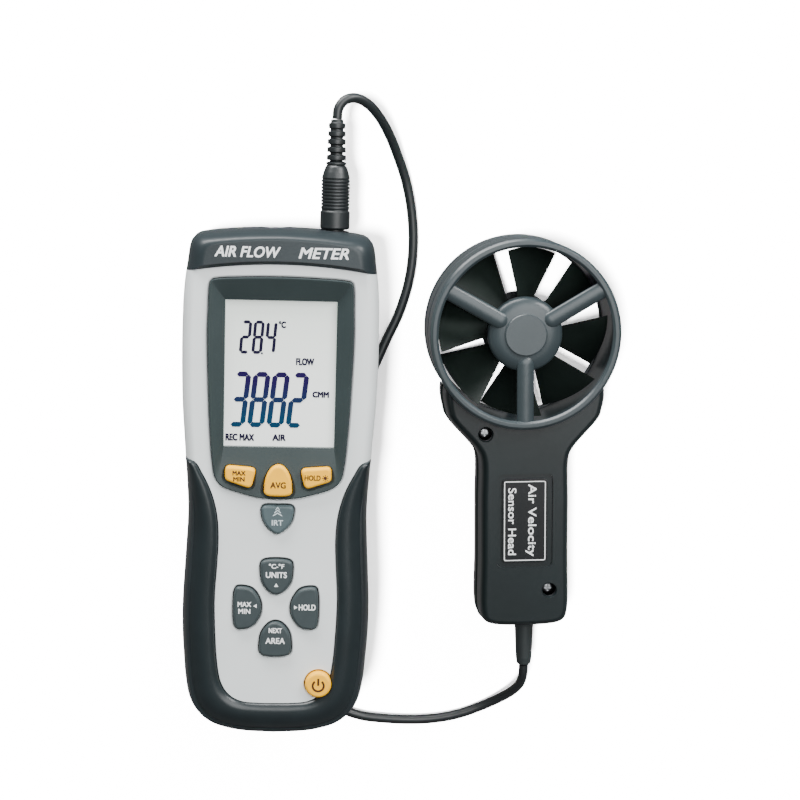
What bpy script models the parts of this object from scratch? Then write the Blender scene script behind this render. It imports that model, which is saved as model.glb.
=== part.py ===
"""Vane anemometer: a handheld air flow meter with a cabled vane probe.

The meter lies on its back, face up, with the probe beside it. The origin is
on the flat back of the meter, +Y points to the meter's top end and +Z up.
All sizes below are in millimetres; the helpers turn them into metres.
"""
import math

import bmesh
import bpy
from mathutils import Matrix, Vector

MM = 0.001
GAP = 0.3
MERGE = 0.00001

# ---------------------------------------------------------------- meter sizes
FACE_Z = 43.0
SEAM_Z = 20.0
GRIP_Z = 45.0
WALL_TOP_Z = 38.6
POCKET_Z = 40.0
FLANK = 14.5
SKIN = 2.6
WALL = 5.2
GRIP_TOP_Y = 12.3
GRIP_LOW_Z = 15.0
SOCKET_X = 20.1
PLUG_Z = 24.0
WINDOW_X = 21.4
WINDOW_Y = (16.8, 73.9)
KEY_FLANGE = (36.4, 38.2)
KEY_TOP = 44.6
RAISED_KEY_TOP = 45.8
POWER_KEY_TOP = 45.6
MAT_Z = (33.6, 35.0)
BOARD_Z = (29.5, 31.1)
STAND_Y = (-74.0, -13.0)
STAND_HALF = 15.1
STAND_AXIS_Z = 2.0
DOOR_Y = (13.0, 66.0)
DOOR_HALF = 15.5
TRIPOD_Y = 76.0
CASE_SCREWS = [(-17.0, 78.5), (17.0, 78.5), (-11.5, -82.0), (11.5, -82.0)]

METER_HALF_WIDTH = 38.1
METER_HALF_LENGTH = 101.0
# Right half of the meter's outline, from the top middle to the bottom middle.
METER_HALF = [(0, 101), (12.5, 100.6), (22, 99.9), (30, 98.9), (33, 98), (34.9, 95.8),
              (36.3, 88), (37.6, 77), (38.1, 62), (38.1, 47), (37.7, 32), (36.7, 17), (35.9, 4),
              (35.3, -8), (35.4, -15), (36.1, -28), (37.1, -47), (37.1, -58), (36.4, -70), (35.6, -79),
              (34, -87), (30.8, -92.8), (25.6, -96.8), (18.6, -99.2), (11.4, -100.4), (0, -101)]
# Right half of the light panel that shows between the arms of the grip.
PANEL_HALF = [(0, 14), (37, 14), (37, 12.2), (32.2, 11), (29.2, 6.4), (26.2, 0.4), (24.2, -5.6),
              (23, -12), (22.6, -20), (22.9, -28), (23.8, -44), (23.3, -60), (22.5, -70),
              (21.2, -77), (19, -81.3), (16, -84), (12.2, -85.5), (6.5, -86), (0, -86.1)]
# Right half of the display bezel.
BEZEL_HALF = [(0, 83), (14, 82.6), (24.5, 81.5), (27, 79.6), (27.7, 70), (28, 60), (27.3, 38),
              (26.5, 22), (25.4, 10), (24.3, 4.6), (21.8, 1.6), (13.5, -1.4), (6.8, -2.9), (0, -3.4)]

# ---------------------------------------------------------------- probe sizes
PROBE_XY = (96.3, 61.5)
PROBE_TURN = math.radians(2.1)
RING_Z = 32.0
RING_R = 38.0
RING_BORE = 34.6
ROTOR_Z = 16.0
BLADES = 8
BLADE_START = 37.4
BLADE_PITCH = math.radians(43.0)
BLADE_RADII = (9.5, 16.0, 25.0, 33.8)
SLOT_HALF_WIDTH = 1.85
PROBE_SEAM_Z = 13.6
HANDLE_Z = 26.0
CORD_Z = 13.6
HANDLE_X = 0.9
LABEL_X = 0.6
RELIEF_X = 2.1
RELIEF_Y = -140.2
PROBE_SCREWS = [(-15.3, -40.5), (10.8, -105.4)]
# Right half of the probe's handle, from inside the ring to the handle's end.
HANDLE_HALF = [(0, -20), (31.9, -20), (31.9, -32.5), (30.6, -35.6), (20.2, -47.8), (18.8, -51.2),
               (18.7, -70), (18.7, -92), (18.7, -115.2), (17.2, -119), (13.4, -120.9), (0, -121.7)]

# ---------------------------------------------------------------- cord
CABLE_R = 1.95
FLOOR_Z = 2.0
# Route from the probe's strain relief, over the table, under the meter's
# right flank and up to the plug's boot.
ROUTE = [(103.5, -79.0, 13.6), (103.5, -83.0, 13.3), (102.8, -87.7, 11.2), (100.0, -92.4, 7.8),
         (95.0, -96.9, 4.4), (88.0, -101.1, 2.3), (78.5, -104.8, FLOOR_Z), (68.1, -106.9, FLOOR_Z),
         (57.1, -107.5, FLOOR_Z), (45.9, -107.0, FLOOR_Z), (36.6, -105.8, FLOOR_Z), (29.2, -102.9, FLOOR_Z),
         (24.9, -97.0, FLOOR_Z), (24.8, -88.6, FLOOR_Z), (26.9, -77.3, FLOOR_Z), (28.6, -62.0, FLOOR_Z),
         (29.2, -44.0, FLOOR_Z), (29.2, -22.0, FLOOR_Z), (29.5, -0.5, FLOOR_Z), (31.4, 19.0, FLOOR_Z),
         (35.8, 36.7, FLOOR_Z), (41.9, 52.5, FLOOR_Z), (47.9, 66.5, FLOOR_Z), (51.6, 80.5, FLOOR_Z),
         (52.7, 94.5, FLOOR_Z), (51.5, 108.4, 2.2), (48.8, 120.0, 3.4), (45.1, 129.7, 6.2),
         (41.3, 137.8, 10.2), (37.0, 144.5, 14.6), (32.2, 149.3, 18.6), (27.1, 151.5, 21.6),
         (22.8, 150.4, 23.4), (20.5, 147.2, 24.0), (20.1, 143.1, 24.0)]

MATERIALS = {
    "light_plastic": ((0.66, 0.70, 0.70), 0.45, 0.0),
    "dark_plastic": ((0.09, 0.115, 0.125), 0.42, 0.0),
    "probe_plastic": ((0.075, 0.095, 0.105), 0.38, 0.0),
    "grip_rubber": ((0.02, 0.035, 0.04), 0.6, 0.0),
    "bezel_plastic": ((0.08, 0.1, 0.11), 0.35, 0.0),
    "clear_window": ((0.9, 0.93, 0.92), 0.05, 0.0),
    "display": ((0.68, 0.75, 0.69), 0.3, 0.0),
    "yellow_key": ((0.92, 0.55, 0.16), 0.4, 0.0),
    "blue_key": ((0.24, 0.3, 0.32), 0.45, 0.0),
    "grey_key": ((0.11, 0.13, 0.14), 0.5, 0.0),
    "black_rubber": ((0.01, 0.014, 0.014), 0.5, 0.0),
    "circuit_board": ((0.03, 0.2, 0.08), 0.5, 0.0),
    "steel": ((0.55, 0.55, 0.56), 0.3, 1.0),
    "brass": ((0.6, 0.45, 0.2), 0.35, 1.0),
    "battery_wrap": ((0.1, 0.1, 0.12), 0.4, 0.3),
    "label": ((0.012, 0.014, 0.014), 0.35, 0.0),
    "vane_plastic": ((0.01, 0.013, 0.014), 0.4, 0.0),
    "lens": ((0.05, 0.06, 0.1), 0.1, 0.2),
}


# ---------------------------------------------------------------- scene set-up
def clear_scene():
    for obj in list(bpy.data.objects):
        bpy.data.objects.remove(obj, do_unlink=True)


def new_collection(name):
    collection = bpy.data.collections.new(name)
    bpy.context.scene.collection.children.link(collection)
    return collection


def make_materials():
    made = {}
    for name, (colour, roughness, metallic) in MATERIALS.items():
        material = bpy.data.materials.new(name)
        material.use_nodes = True
        shader = material.node_tree.nodes["Principled BSDF"]
        shader.inputs["Base Color"].default_value = (*colour, 1.0)
        shader.inputs["Roughness"].default_value = roughness
        shader.inputs["Metallic"].default_value = metallic
        made[name] = material
    return made


clear_scene()
PARTS = new_collection("vane_anemometer")
CUTTERS = new_collection("cutters")
MATERIAL = make_materials()


# ---------------------------------------------------------------- outlines
def catmull(p0, p1, p2, p3, t):
    """Point between p1 and p2 on a Catmull-Rom curve."""
    a = 2 * p1
    b = p2 - p0
    c = 2 * p0 - 5 * p1 + 4 * p2 - p3
    d = 3 * p1 - p0 - 3 * p2 + p3
    return 0.5 * (a + b * t + c * t * t + d * t ** 3)


def smooth_path(points, steps):
    """Catmull-Rom curve through the points, with a number of steps in each span."""
    knots = [Vector(p) for p in points]
    knots = [2 * knots[0] - knots[1]] + knots + [2 * knots[-1] - knots[-2]]
    path = []
    for i in range(1, len(knots) - 2):
        for k in range(steps):
            path.append(catmull(*knots[i - 1:i + 3], k / steps))
    path.append(knots[-2])
    return path


def even_path(points, spacing):
    """The smooth curve through the points, sampled at an even spacing."""
    fine = smooth_path(points, 24)
    lengths = [0.0]
    for a, b in zip(fine, fine[1:]):
        lengths.append(lengths[-1] + (b - a).length)
    count = round(lengths[-1] / spacing)
    path = []
    j = 0
    for i in range(count + 1):
        target = lengths[-1] * i / count
        while j < len(fine) - 2 and lengths[j + 1] < target:
            j += 1
        t = (target - lengths[j]) / (lengths[j + 1] - lengths[j])
        path.append(fine[j].lerp(fine[j + 1], t))
    return path


def mirrored(half):
    """Closed outline from its right half, which runs from top middle to bottom middle."""
    return list(half) + [(-x, y) for x, y in reversed(half[1:-1])]


def rounded(corners, radius, steps=3):
    """Closed outline with each corner replaced by an arc."""
    outline = []
    count = len(corners)
    for i in range(count):
        here = Vector(corners[i])
        before = (Vector(corners[i - 1]) - here).normalized()
        after = (Vector(corners[(i + 1) % count]) - here).normalized()
        half = before.angle(after) / 2
        reach = radius / math.tan(half)
        middle = here + (before + after).normalized() * radius / math.sin(half)
        start = here + before * reach - middle
        turn = start.angle_signed(here + after * reach - middle)
        for k in range(steps + 1):
            outline.append(tuple(middle + Matrix.Rotation(-turn * k / steps, 2) @ start))
    return outline


def circle(x, y, radius, count=24):
    angles = [2 * math.pi * i / count for i in range(count)]
    return [(x + radius * math.cos(a), y + radius * math.sin(a)) for a in angles]


def rectangle(x0, x1, y0, y1):
    return [(x0, y1), (x1, y1), (x1, y0), (x0, y0)]


def inset(outline, amount):
    """Move each point of a closed outline inwards along its normal."""
    count = len(outline)
    area = sum(outline[i - 1][0] * outline[i][1] - outline[i][0] * outline[i - 1][1] for i in range(count))
    side = 1 if area > 0 else -1
    moved = []
    for i in range(count):
        before = Vector(outline[i]) - Vector(outline[i - 1])
        after = Vector(outline[(i + 1) % count]) - Vector(outline[i])
        normal_a = Vector((-before.y, before.x)).normalized() * side
        normal_b = Vector((-after.y, after.x)).normalized() * side
        normal = (normal_a + normal_b).normalized()
        stretch = min(1 / max(normal.dot(normal_a), 0.5), 1.4)
        moved.append(tuple(Vector(outline[i]) + normal * amount * stretch))
    return moved


def shrink(amount):
    """The meter's outline drawn in by an amount at its sides and its ends."""
    wide = 1 - amount / METER_HALF_WIDTH
    long = 1 - amount / METER_HALF_LENGTH
    return [(x * wide, y * long) for x, y in METER]


METER = mirrored(METER_HALF)
PANEL = mirrored(PANEL_HALF)
BEZEL = mirrored(BEZEL_HALF)
HANDLE = [(x + HANDLE_X, y) for x, y in mirrored(HANDLE_HALF)]


# ---------------------------------------------------------------- solids
def add(name, mesh, collection, material=None):
    obj = bpy.data.objects.new(name, mesh)
    collection.objects.link(obj)
    if material:
        mesh.materials.append(MATERIAL[material])
    else:
        obj.hide_render = True
        obj.display_type = "WIRE"
    mesh.shade_smooth()
    mesh.set_sharp_from_angle(angle=math.radians(35))
    return obj


def finish(name, bm, material):
    """Turn a bmesh in millimetres into an object: a part if it has a material, or a cutter."""
    bmesh.ops.recalc_face_normals(bm, faces=bm.faces)
    if bm.calc_volume(signed=True) < 0:
        bmesh.ops.reverse_faces(bm, faces=bm.faces)
    bmesh.ops.scale(bm, vec=(MM, MM, MM), verts=bm.verts)
    mesh = bpy.data.meshes.new(name)
    bm.to_mesh(mesh)
    bm.free()
    return add(name, mesh, PARTS if material else CUTTERS, material)


def box(name, low, high, material=None):
    bm = bmesh.new()
    bmesh.ops.create_cube(bm, size=1.0)
    size = Vector(high) - Vector(low)
    bmesh.ops.scale(bm, vec=size, verts=bm.verts)
    bmesh.ops.translate(bm, vec=Vector(low) + size / 2, verts=bm.verts)
    return finish(name, bm, material)


def cylinder(name, centre, radius, span, axis="Z", segments=24, material=None):
    """Cylinder along an axis; span is its two ends along that axis."""
    bm = bmesh.new()
    bmesh.ops.create_cone(bm, cap_ends=True, segments=segments, radius1=radius, radius2=radius,
                          depth=span[1] - span[0])
    if axis == "Y":
        bmesh.ops.rotate(bm, matrix=Matrix.Rotation(math.pi / 2, 3, "X"), verts=bm.verts)
    if axis == "X":
        bmesh.ops.rotate(bm, matrix=Matrix.Rotation(math.pi / 2, 3, "Y"), verts=bm.verts)
    place = Vector(centre)
    place["XYZ".index(axis)] = (span[0] + span[1]) / 2
    bmesh.ops.translate(bm, vec=place, verts=bm.verts)
    return finish(name, bm, material)


def loft(name, rings, material=None):
    """Closed solid through rings of points with equal counts, each ring (outline, z)."""
    bm = bmesh.new()
    loops = [[bm.verts.new((x, y, z)) for x, y in outline] for outline, z in rings]
    for low, high in zip(loops, loops[1:]):
        for i in range(len(low)):
            bm.faces.new((low[i - 1], low[i], high[i], high[i - 1]))
    bm.faces.new(loops[0])
    bm.faces.new(loops[-1])
    return finish(name, bm, material)


def prism(name, outline, z_low, z_high, material=None):
    """Flat outline as a filled curve, extruded between two heights and made a mesh."""
    curve = bpy.data.curves.new(name + "_outline", "CURVE")
    curve.dimensions = "2D"
    curve.fill_mode = "BOTH"
    curve.extrude = (z_high - z_low) / 2 * MM
    spline = curve.splines.new("POLY")
    spline.points.add(len(outline) - 1)
    for point, (x, y) in zip(spline.points, outline):
        point.co = (x * MM, y * MM, 0, 1)
    spline.use_cyclic_u = True
    guide = bpy.data.objects.new(name + "_outline", curve)
    guide.location.z = (z_low + z_high) / 2 * MM
    return solid_from_curve(name, guide, material)


def solid_from_curve(name, guide, material):
    """Mesh object in place of a curve object, with its caps welded."""
    CUTTERS.objects.link(guide)
    graph = bpy.context.evaluated_depsgraph_get()
    mesh = bpy.data.meshes.new_from_object(guide.evaluated_get(graph))
    place = guide.matrix_world.copy()
    bpy.data.objects.remove(guide, do_unlink=True)
    bm = bmesh.new()
    bm.from_mesh(mesh)
    bmesh.ops.remove_doubles(bm, verts=bm.verts, dist=MERGE)
    bmesh.ops.recalc_face_normals(bm, faces=bm.faces)
    bm.to_mesh(mesh)
    bm.free()
    mesh.name = name
    obj = add(name, mesh, PARTS if material else CUTTERS, material)
    obj.matrix_world = place
    return obj


def turned(name, profile, place, axis="Z", ring=False, segments=32, material=None):
    """Profile of (radius, height), from the top down its outer side, turned by a Screw modifier."""
    bm = bmesh.new()
    verts = [bm.verts.new((r * MM, 0, z * MM)) for r, z in profile]
    for a, b in zip(verts, verts[1:]):
        bm.edges.new((a, b))
    if ring:
        bm.edges.new((verts[-1], verts[0]))
    mesh = bpy.data.meshes.new(name)
    bm.to_mesh(mesh)
    bm.free()
    obj = add(name, mesh, PARTS if material else CUTTERS, material)
    obj.location = Vector(place) * MM
    if axis == "Y":
        obj.rotation_euler.x = -math.pi / 2
    screw = obj.modifiers.new("turn", "SCREW")
    screw.axis = "Z"
    screw.steps = segments
    screw.render_steps = segments
    screw.use_merge_vertices = True
    screw.merge_threshold = MERGE
    screw.use_smooth_shade = True
    return obj


def tube(name, path, radius, material):
    """Round tube along a path, as a curve with a bevel and filled caps."""
    curve = bpy.data.curves.new(name, "CURVE")
    curve.dimensions = "3D"
    curve.bevel_depth = radius * MM
    curve.bevel_resolution = 2
    curve.use_fill_caps = True
    spline = curve.splines.new("POLY")
    spline.points.add(len(path) - 1)
    for point, co in zip(spline.points, path):
        point.co = (co[0] * MM, co[1] * MM, co[2] * MM, 1)
    obj = bpy.data.objects.new(name, curve)
    PARTS.objects.link(obj)
    curve.materials.append(MATERIAL[material])
    return obj


def combine(obj, operation, others):
    for other in others:
        boolean = obj.modifiers.new(operation.lower() + "_" + other.name, "BOOLEAN")
        boolean.operation = operation
        boolean.solver = "EXACT"
        boolean.object = other
    return obj


def cut(obj, *cutters):
    return combine(obj, "DIFFERENCE", cutters)


def unite(obj, *others):
    return combine(obj, "UNION", others)


def overlap_of(obj, *others):
    return combine(obj, "INTERSECT", others)


def set_origin(obj, point):
    """Put a mesh object's origin at a point, leaving its shape in place."""
    shift = Vector(point) * MM
    obj.data.transform(Matrix.Translation(obj.location - shift))
    obj.location = shift
    return obj


def ride_on(obj, frame):
    obj.parent = frame
    return obj


# ---------------------------------------------------------------- meter body
def body_rings(top, edge):
    """Levels of the meter's outer skin, from the flat back to a top edge that is rounded off."""
    levels = [(0, FLANK), (7, 7.5), (14, 1.9), (SEAM_Z, 0), (top - 9, 0), (top - 4, edge * 0.2),
              (top - 1.2, edge * 0.5), (top, edge)]
    return [(shrink(d), z) for z, d in levels]


def end_zone(name, clearance):
    """Everything above the arched line where the end cap meets the cases."""
    arch = [(x, 88 - clearance - 3.2 * (x / 36) ** 2) for x in range(-45, 46, 9)]
    return prism(name, [(-45, 130), (45, 130)] + arch[::-1], -5, 60)


def grip_zone(name, clearance):
    """The U-shaped space round the lower half that the rubber grip fills."""
    zone = box(name, (-60, -130, GRIP_LOW_Z + clearance), (60, GRIP_TOP_Y - clearance, 60))
    core = prism(name + "_core", shrink(SKIN - clearance), -5, 41 + clearance)
    panel = prism(name + "_panel", inset(PANEL, -clearance), -6, 61)
    return cut(zone, core, panel)


def hollow(name, bosses):
    """Inside space of the two cases, leaving solid bosses round the screws, stand and insert."""
    levels = [(2.6, 15.4), (9, 10.5), (16, 6.2), (SEAM_Z, WALL), (WALL_TOP_Z, WALL)]
    space = loft(name, [(shrink(d), z) for z, d in levels])
    return cut(space, *bosses)


def make_cases():
    cap_line = end_zone("cap_line", GAP)
    grip_space = grip_zone("grip_space", 0)
    rear_split = box("rear_split", (-60, -130, SEAM_Z), (60, 130, 60))
    front_split = box("front_split", (-60, -130, -10), (60, 130, SEAM_Z + GAP))

    bosses = [box("stand_floor", (-18.5, STAND_Y[0] - 5, -1), (18.5, STAND_Y[1] + 5, 7)),
              cylinder("tripod_boss", (0, TRIPOD_Y, 0), 6.8, (-1, 10))]
    for i, (x, y) in enumerate(CASE_SCREWS):
        bosses.append(cylinder("case_boss_%d" % i, (x, y, 0), 3.9, (-1, 14), segments=12))
    rear_space = hollow("rear_space", bosses)
    front_space = hollow("front_space", [])

    rear = loft("rear_case", body_rings(FACE_Z, 3.2), "dark_plastic")
    cut(rear, rear_split, rear_space, cap_line, grip_space)
    cut(rear, box("stand_recess", (-15.5, STAND_Y[0] - 0.5, -1), (15.5, STAND_Y[1] + 2.4, 4.0)))
    cut(rear, cylinder("finger_notch", (0, STAND_Y[0], 0), 5.0, (-1, 2.6)))
    cut(rear, box("door_opening", (-DOOR_HALF, DOOR_Y[0], -1), (DOOR_HALF, DOOR_Y[1], 6)))
    cut(rear, cylinder("stand_pin_bore", (0, STAND_Y[1], STAND_AXIS_Z), 1.1, (-17.6, 17.6), "X", 12))
    cut(rear, cylinder("tripod_hole", (0, TRIPOD_Y, 0), 4.6, (-1, 8.4)))
    for i, (x, y) in enumerate(CASE_SCREWS):
        cut(rear, cylinder("case_counterbore_%d" % i, (x, y, 0), 2.9, (-1, 3.0), segments=12))
        cut(rear, cylinder("case_screw_hole_%d" % i, (x, y, 0), 1.5, (-1, 15), segments=8))

    front = loft("front_case", body_rings(FACE_Z, 3.2), "light_plastic")
    cut(front, front_split, front_space, cap_line, grip_space)
    cut(front, prism("bezel_pocket", inset(BEZEL, -GAP), POCKET_Z, 60))
    cut(front, box("display_opening", (-WINDOW_X, WINDOW_Y[0], 30), (WINDOW_X, WINDOW_Y[1], 60)))
    return rear, front


def make_cap():
    """End cap over the top, with holes for the probe socket, the infrared lens and the laser."""
    zone = end_zone("cap_zone", 0)
    levels = [(SKIN, 14.6), (9, 8.6), (16, 3.6), (SEAM_Z, SKIN), (42.4, SKIN)]
    space = loft("cap_space", [(shrink(d), z) for z, d in levels])
    cap = loft("top_cap", body_rings(GRIP_Z, 4.0), "dark_plastic")
    overlap_of(cap, zone)
    cut(cap, space)
    cut(cap, cylinder("socket_hole", (SOCKET_X, 0, PLUG_Z), 5.9, (90, 110), "Y"))
    cut(cap, cylinder("lens_hole", (-3, 0, PLUG_Z), 6.3, (90, 110), "Y"))
    cut(cap, cylinder("laser_hole", (-16, 0, PLUG_Z), 2.9, (90, 110), "Y", 16))
    return cap


def make_grip():
    grip = loft("rubber_grip", body_rings(GRIP_Z, 5.0), "grip_rubber")
    return overlap_of(grip, grip_zone("grip_shape", GAP))


# ---------------------------------------------------------------- display
def make_bezel():
    x = WINDOW_X
    low, high = WINDOW_Y
    opening = rectangle(-x, x, low, high)
    rim = [(-25.8, 79.4), (25.8, 79.4), (24.4, 12.9), (-24.4, 12.9)]
    bezel = prism("display_bezel", BEZEL, POCKET_Z + GAP, 44.4, "bezel_plastic")
    cut(bezel, loft("window_slope", [(opening, 30), (opening, 41.9), (rim, 44.41), (rim, 50)]))
    return bezel


def make_display():
    x = WINDOW_X - GAP
    low, high = WINDOW_Y
    prism("display_window", rounded(rectangle(-x, x, low + GAP, high - GAP), 0.8), 40.3, 41.6, "clear_window")
    box("lcd_panel", (-23.5, 14.6, 36.2), (23.5, 76, 38.2), "display")


# ---------------------------------------------------------------- keys
def key_outlines():
    """Outline, top height and material of each key."""
    wedge = rounded([(-20.8, 10.5), (-8.3, 9.5), (-10.4, 1.2), (-20.8, 4.8)], 1.5)
    arch = [(5.5 * math.cos(a), 1.5 + 9.5 * math.sin(a)) for a in [math.pi * k / 8 for k in range(9)]]
    arch += [(-5.5, -0.2), (-4.6, -1.2), (0, -1.7), (4.6, -1.2), (5.5, -0.2)]
    shield = [(-6.2, -5.6), (-5.2, -4.6), (5.2, -4.6), (6.2, -5.6), (6.2, -9), (5.4, -12.2),
              (3.2, -15.3), (0, -17.2), (-3.2, -15.3), (-5.4, -12.2), (-6.2, -9)]
    pad = [(-6.5, 7.3), (-5.4, 8), (0, 8.4), (5.4, 8), (6.5, 7.3), (6.5, 0.5), (5.6, -2.6),
           (2.6, -6.2), (0, -7.2), (-2.6, -6.2), (-5.6, -2.6), (-6.5, 0.5)]
    wide = [(x * 1.38, y * 0.76) for x, y in pad]
    return {
        "key_max_min": (wedge, RAISED_KEY_TOP, "yellow_key"),
        "key_average": (arch, RAISED_KEY_TOP, "yellow_key"),
        "key_hold": ([(-x, y) for x, y in wedge], RAISED_KEY_TOP, "yellow_key"),
        "key_surface_temp": (shield, KEY_TOP, "blue_key"),
        "key_units": ([(x, y - 34.8) for x, y in pad], KEY_TOP, "grey_key"),
        "key_area_next": ([(x, -y - 59.3) for x, y in pad], KEY_TOP, "grey_key"),
        "key_left": ([(-y - 10.9, x - 47.1) for x, y in wide], KEY_TOP, "grey_key"),
        "key_right": ([(y + 10.9, x - 47.1) for x, y in wide], KEY_TOP, "grey_key"),
        "key_power": (circle(17.3, -77.6, 5.2, 20), POWER_KEY_TOP, "yellow_key"),
    }


def make_keys(front, bezel, grip):
    """Keys that slide down through the front case, each held in by its flange."""
    for name, (outline, top, material) in key_outlines().items():
        wide = inset(outline, -0.8)
        rings = [(wide, KEY_FLANGE[0]), (wide, KEY_FLANGE[1]), (outline, KEY_FLANGE[1]),
                 (outline, top - 0.7), (inset(outline, 0.7), top)]
        key = loft(name, rings, material)
        middle = sum((Vector(p) for p in outline), Vector((0, 0))) / len(outline)
        set_origin(key, (middle.x, middle.y, KEY_FLANGE[0]))
        hole = prism(name + "_hole", inset(outline, -0.35), 30, 60)
        cut(front, hole)
        if top == RAISED_KEY_TOP:
            cut(bezel, hole)
        if name == "key_power":
            cut(grip, hole)


# ---------------------------------------------------------------- inside the meter
def make_insides():
    prism("main_board", rounded(rectangle(-25, 25, -78, 75), 4), *BOARD_Z, "circuit_board")
    prism("keypad_mat", inset(PANEL, 3.4)[3:-2], *MAT_Z, "black_rubber")
    cylinder("buzzer", (-17, -60, 0), 6.0, (25.0, 29.2), material="black_rubber")
    box("battery", (-13.2, 15.5, 3.2), (13.2, 61, 20.4), "battery_wrap")
    box("battery_snap", (-12, 61.3, 4), (12, 65, 19), "black_rubber")
    turned("probe_socket", [(0, 1.2), (4.2, 1.2), (4.2, 9.6), (5.6, 9.6), (5.6, 0), (0, 0)],
           (SOCKET_X, 90.4, PLUG_Z), "Y", False, 24, "dark_plastic")
    turned("infrared_lens", [(0, 11.5), (4.2, 11.0), (4.8, 12.6), (6.0, 12.6), (6.0, 0), (0, 0)],
           (-3, 88, PLUG_Z), "Y", False, 24, "lens")
    turned("laser_module", [(0, 12.2), (2.0, 12.2), (2.6, 11.6), (2.6, 0), (0, 0)],
           (-16, 88, PLUG_Z), "Y", False, 16, "brass")


# ---------------------------------------------------------------- back of the meter
def make_stand():
    low, high = STAND_Y
    z = STAND_AXIS_Z
    stand = box("tilt_stand", (-STAND_HALF, low, 0.4), (STAND_HALF, high, 2.7), "dark_plastic")
    barrel = cylinder("stand_barrel", (0, high, z), 1.6, (-STAND_HALF, STAND_HALF), "X", 16)
    unite(stand, barrel)
    cut(stand, cylinder("stand_bore", (0, high, z), 1.1, (-20, 20), "X", 12))
    set_origin(stand, (0, high, z))
    pin = cylinder("stand_pin", (0, high, z), 0.8, (-17.3, 17.3), "X", 12, "steel")
    set_origin(pin, (0, high, z))


def screw(name, x, y, head_z, tip_z, head_r, shank_r):
    """Pan-head screw, its head down if tip_z is above head_z and up if it is below."""
    way = 1 if tip_z > head_z else -1
    head = 1.6 * way
    length = tip_z - head_z
    profile = [(0, 0), (head_r, 0), (head_r, head), (shank_r, head), (shank_r, length), (0, length)]
    if way > 0:
        profile = profile[::-1]
    return turned(name, profile, (x, y, head_z), segments=12, material="steel")


def make_battery_door():
    x = DOOR_HALF - 0.4
    low, high = DOOR_Y
    door = prism("battery_door", rounded(rectangle(-x, x, low + 0.4, high - 0.4), 1.2), 0.4, 2.4,
                 "dark_plastic")
    cut(door, cylinder("door_counterbore", (0, low + 5, 0), 2.7, (-1, 1.4 + 0.3), segments=16))
    cut(door, cylinder("door_screw_hole", (0, low + 5, 0), 1.4, (-1, 5), segments=12))
    turned("battery_door_screw", [(0, 2.3), (1.1, 2.3), (1.1, 1.3), (2.4, 1.3), (2.4, 0.5), (0, 0.5)],
           (0, low + 5, 0), segments=16, material="steel")


def make_back():
    make_stand()
    make_battery_door()
    for i, (x, y) in enumerate(CASE_SCREWS):
        screw("case_screw_%d" % (i + 1), x, y, 0.5, 12, 2.4, 1.1)
    turned("tripod_insert", [(4.2, 8), (4.2, 0.4), (2.9, 0.4), (2.9, 8)], (0, TRIPOD_Y, 0),
           ring=True, segments=20, material="brass")


# ---------------------------------------------------------------- vane probe
def make_ring_and_guards(frame):
    mid = turned("vane_ring", [(RING_R - 0.4, 29.2), (RING_R - 0.4, 2.8), (RING_BORE + 0.8, 2.8), (RING_BORE + 0.8, 29.2)],
                 (0, 0, 0), ring=True, segments=40, material="probe_plastic")
    ride_on(mid, frame)
    for name, face, way in (("front_guard", RING_Z, 1), ("rear_guard", 0.0, -1)):
        rim = [(RING_BORE, 0), (RING_R - 0.8, 0), (RING_R, -0.8), (RING_R, -2.5), (RING_BORE, -2.5)]
        hub = [(0, -0.6), (8.2, -0.6), (14.2, -3.4), (15.0, -5.6), (0, -5.6)]
        if way < 0:
            rim = [(r, -z) for r, z in reversed(rim)]
            hub = [(r, -z) for r, z in reversed(hub)]
        guard = turned(name, rim, (0, 0, face), ring=True, segments=40, material="probe_plastic")
        pieces = [turned(name + "_hub", hub, (0, 0, face), segments=20)]
        for i in range(3):
            span = sorted((face - way * 0.6, face - way * 3.2))
            spoke = box("%s_spoke_%d" % (name, i), (7, -3.0, span[0]), (RING_BORE + 0.3, 3.0, span[1]))
            spoke.rotation_euler.z = math.radians(30 + 120 * i)
            pieces.append(spoke)
        unite(guard, *pieces)
        pocket = sorted((face - way * 2.6, face - way * 7))
        cut(guard, cylinder(name + "_pocket", (0, 0, 0), 3.2, pocket, segments=16))
        for piece in pieces + [guard, bpy.data.objects[name + "_pocket"]]:
            ride_on(piece, frame)
        ring = [(2.9, 0), (2.9, -2.2), (1.35, -2.2), (1.35, 0)]
        top = face - 2.9 if way > 0 else 5.1
        bearing = turned("bearing_front" if way > 0 else "bearing_rear", ring, (0, 0, top), ring=True,
                         segments=16, material="steel")
        ride_on(bearing, frame)


def blade_sheet(name):
    """One pitched blade with an even slot beside it, thickened by Solidify."""
    bm = bmesh.new()
    rows = []
    for r in BLADE_RADII:
        half_angle = math.pi / BLADES - math.asin(SLOT_HALF_WIDTH / r)
        rise = r * math.sin(half_angle) * math.tan(BLADE_PITCH)
        row = []
        for k in range(5):
            u = k / 2 - 1
            angle = u * half_angle
            row.append(bm.verts.new((r * math.cos(angle), r * math.sin(angle), u * rise)))
        rows.append(row)
    for a, b in zip(rows, rows[1:]):
        for k in range(4):
            bm.faces.new((a[k], b[k], b[k + 1], a[k + 1]))
    sheet = finish(name, bm, None)
    sheet.location.z = ROTOR_Z * MM
    thick = sheet.modifiers.new("thickness", "SOLIDIFY")
    thick.thickness = 1.0 * MM
    thick.offset = 0
    return sheet


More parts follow.
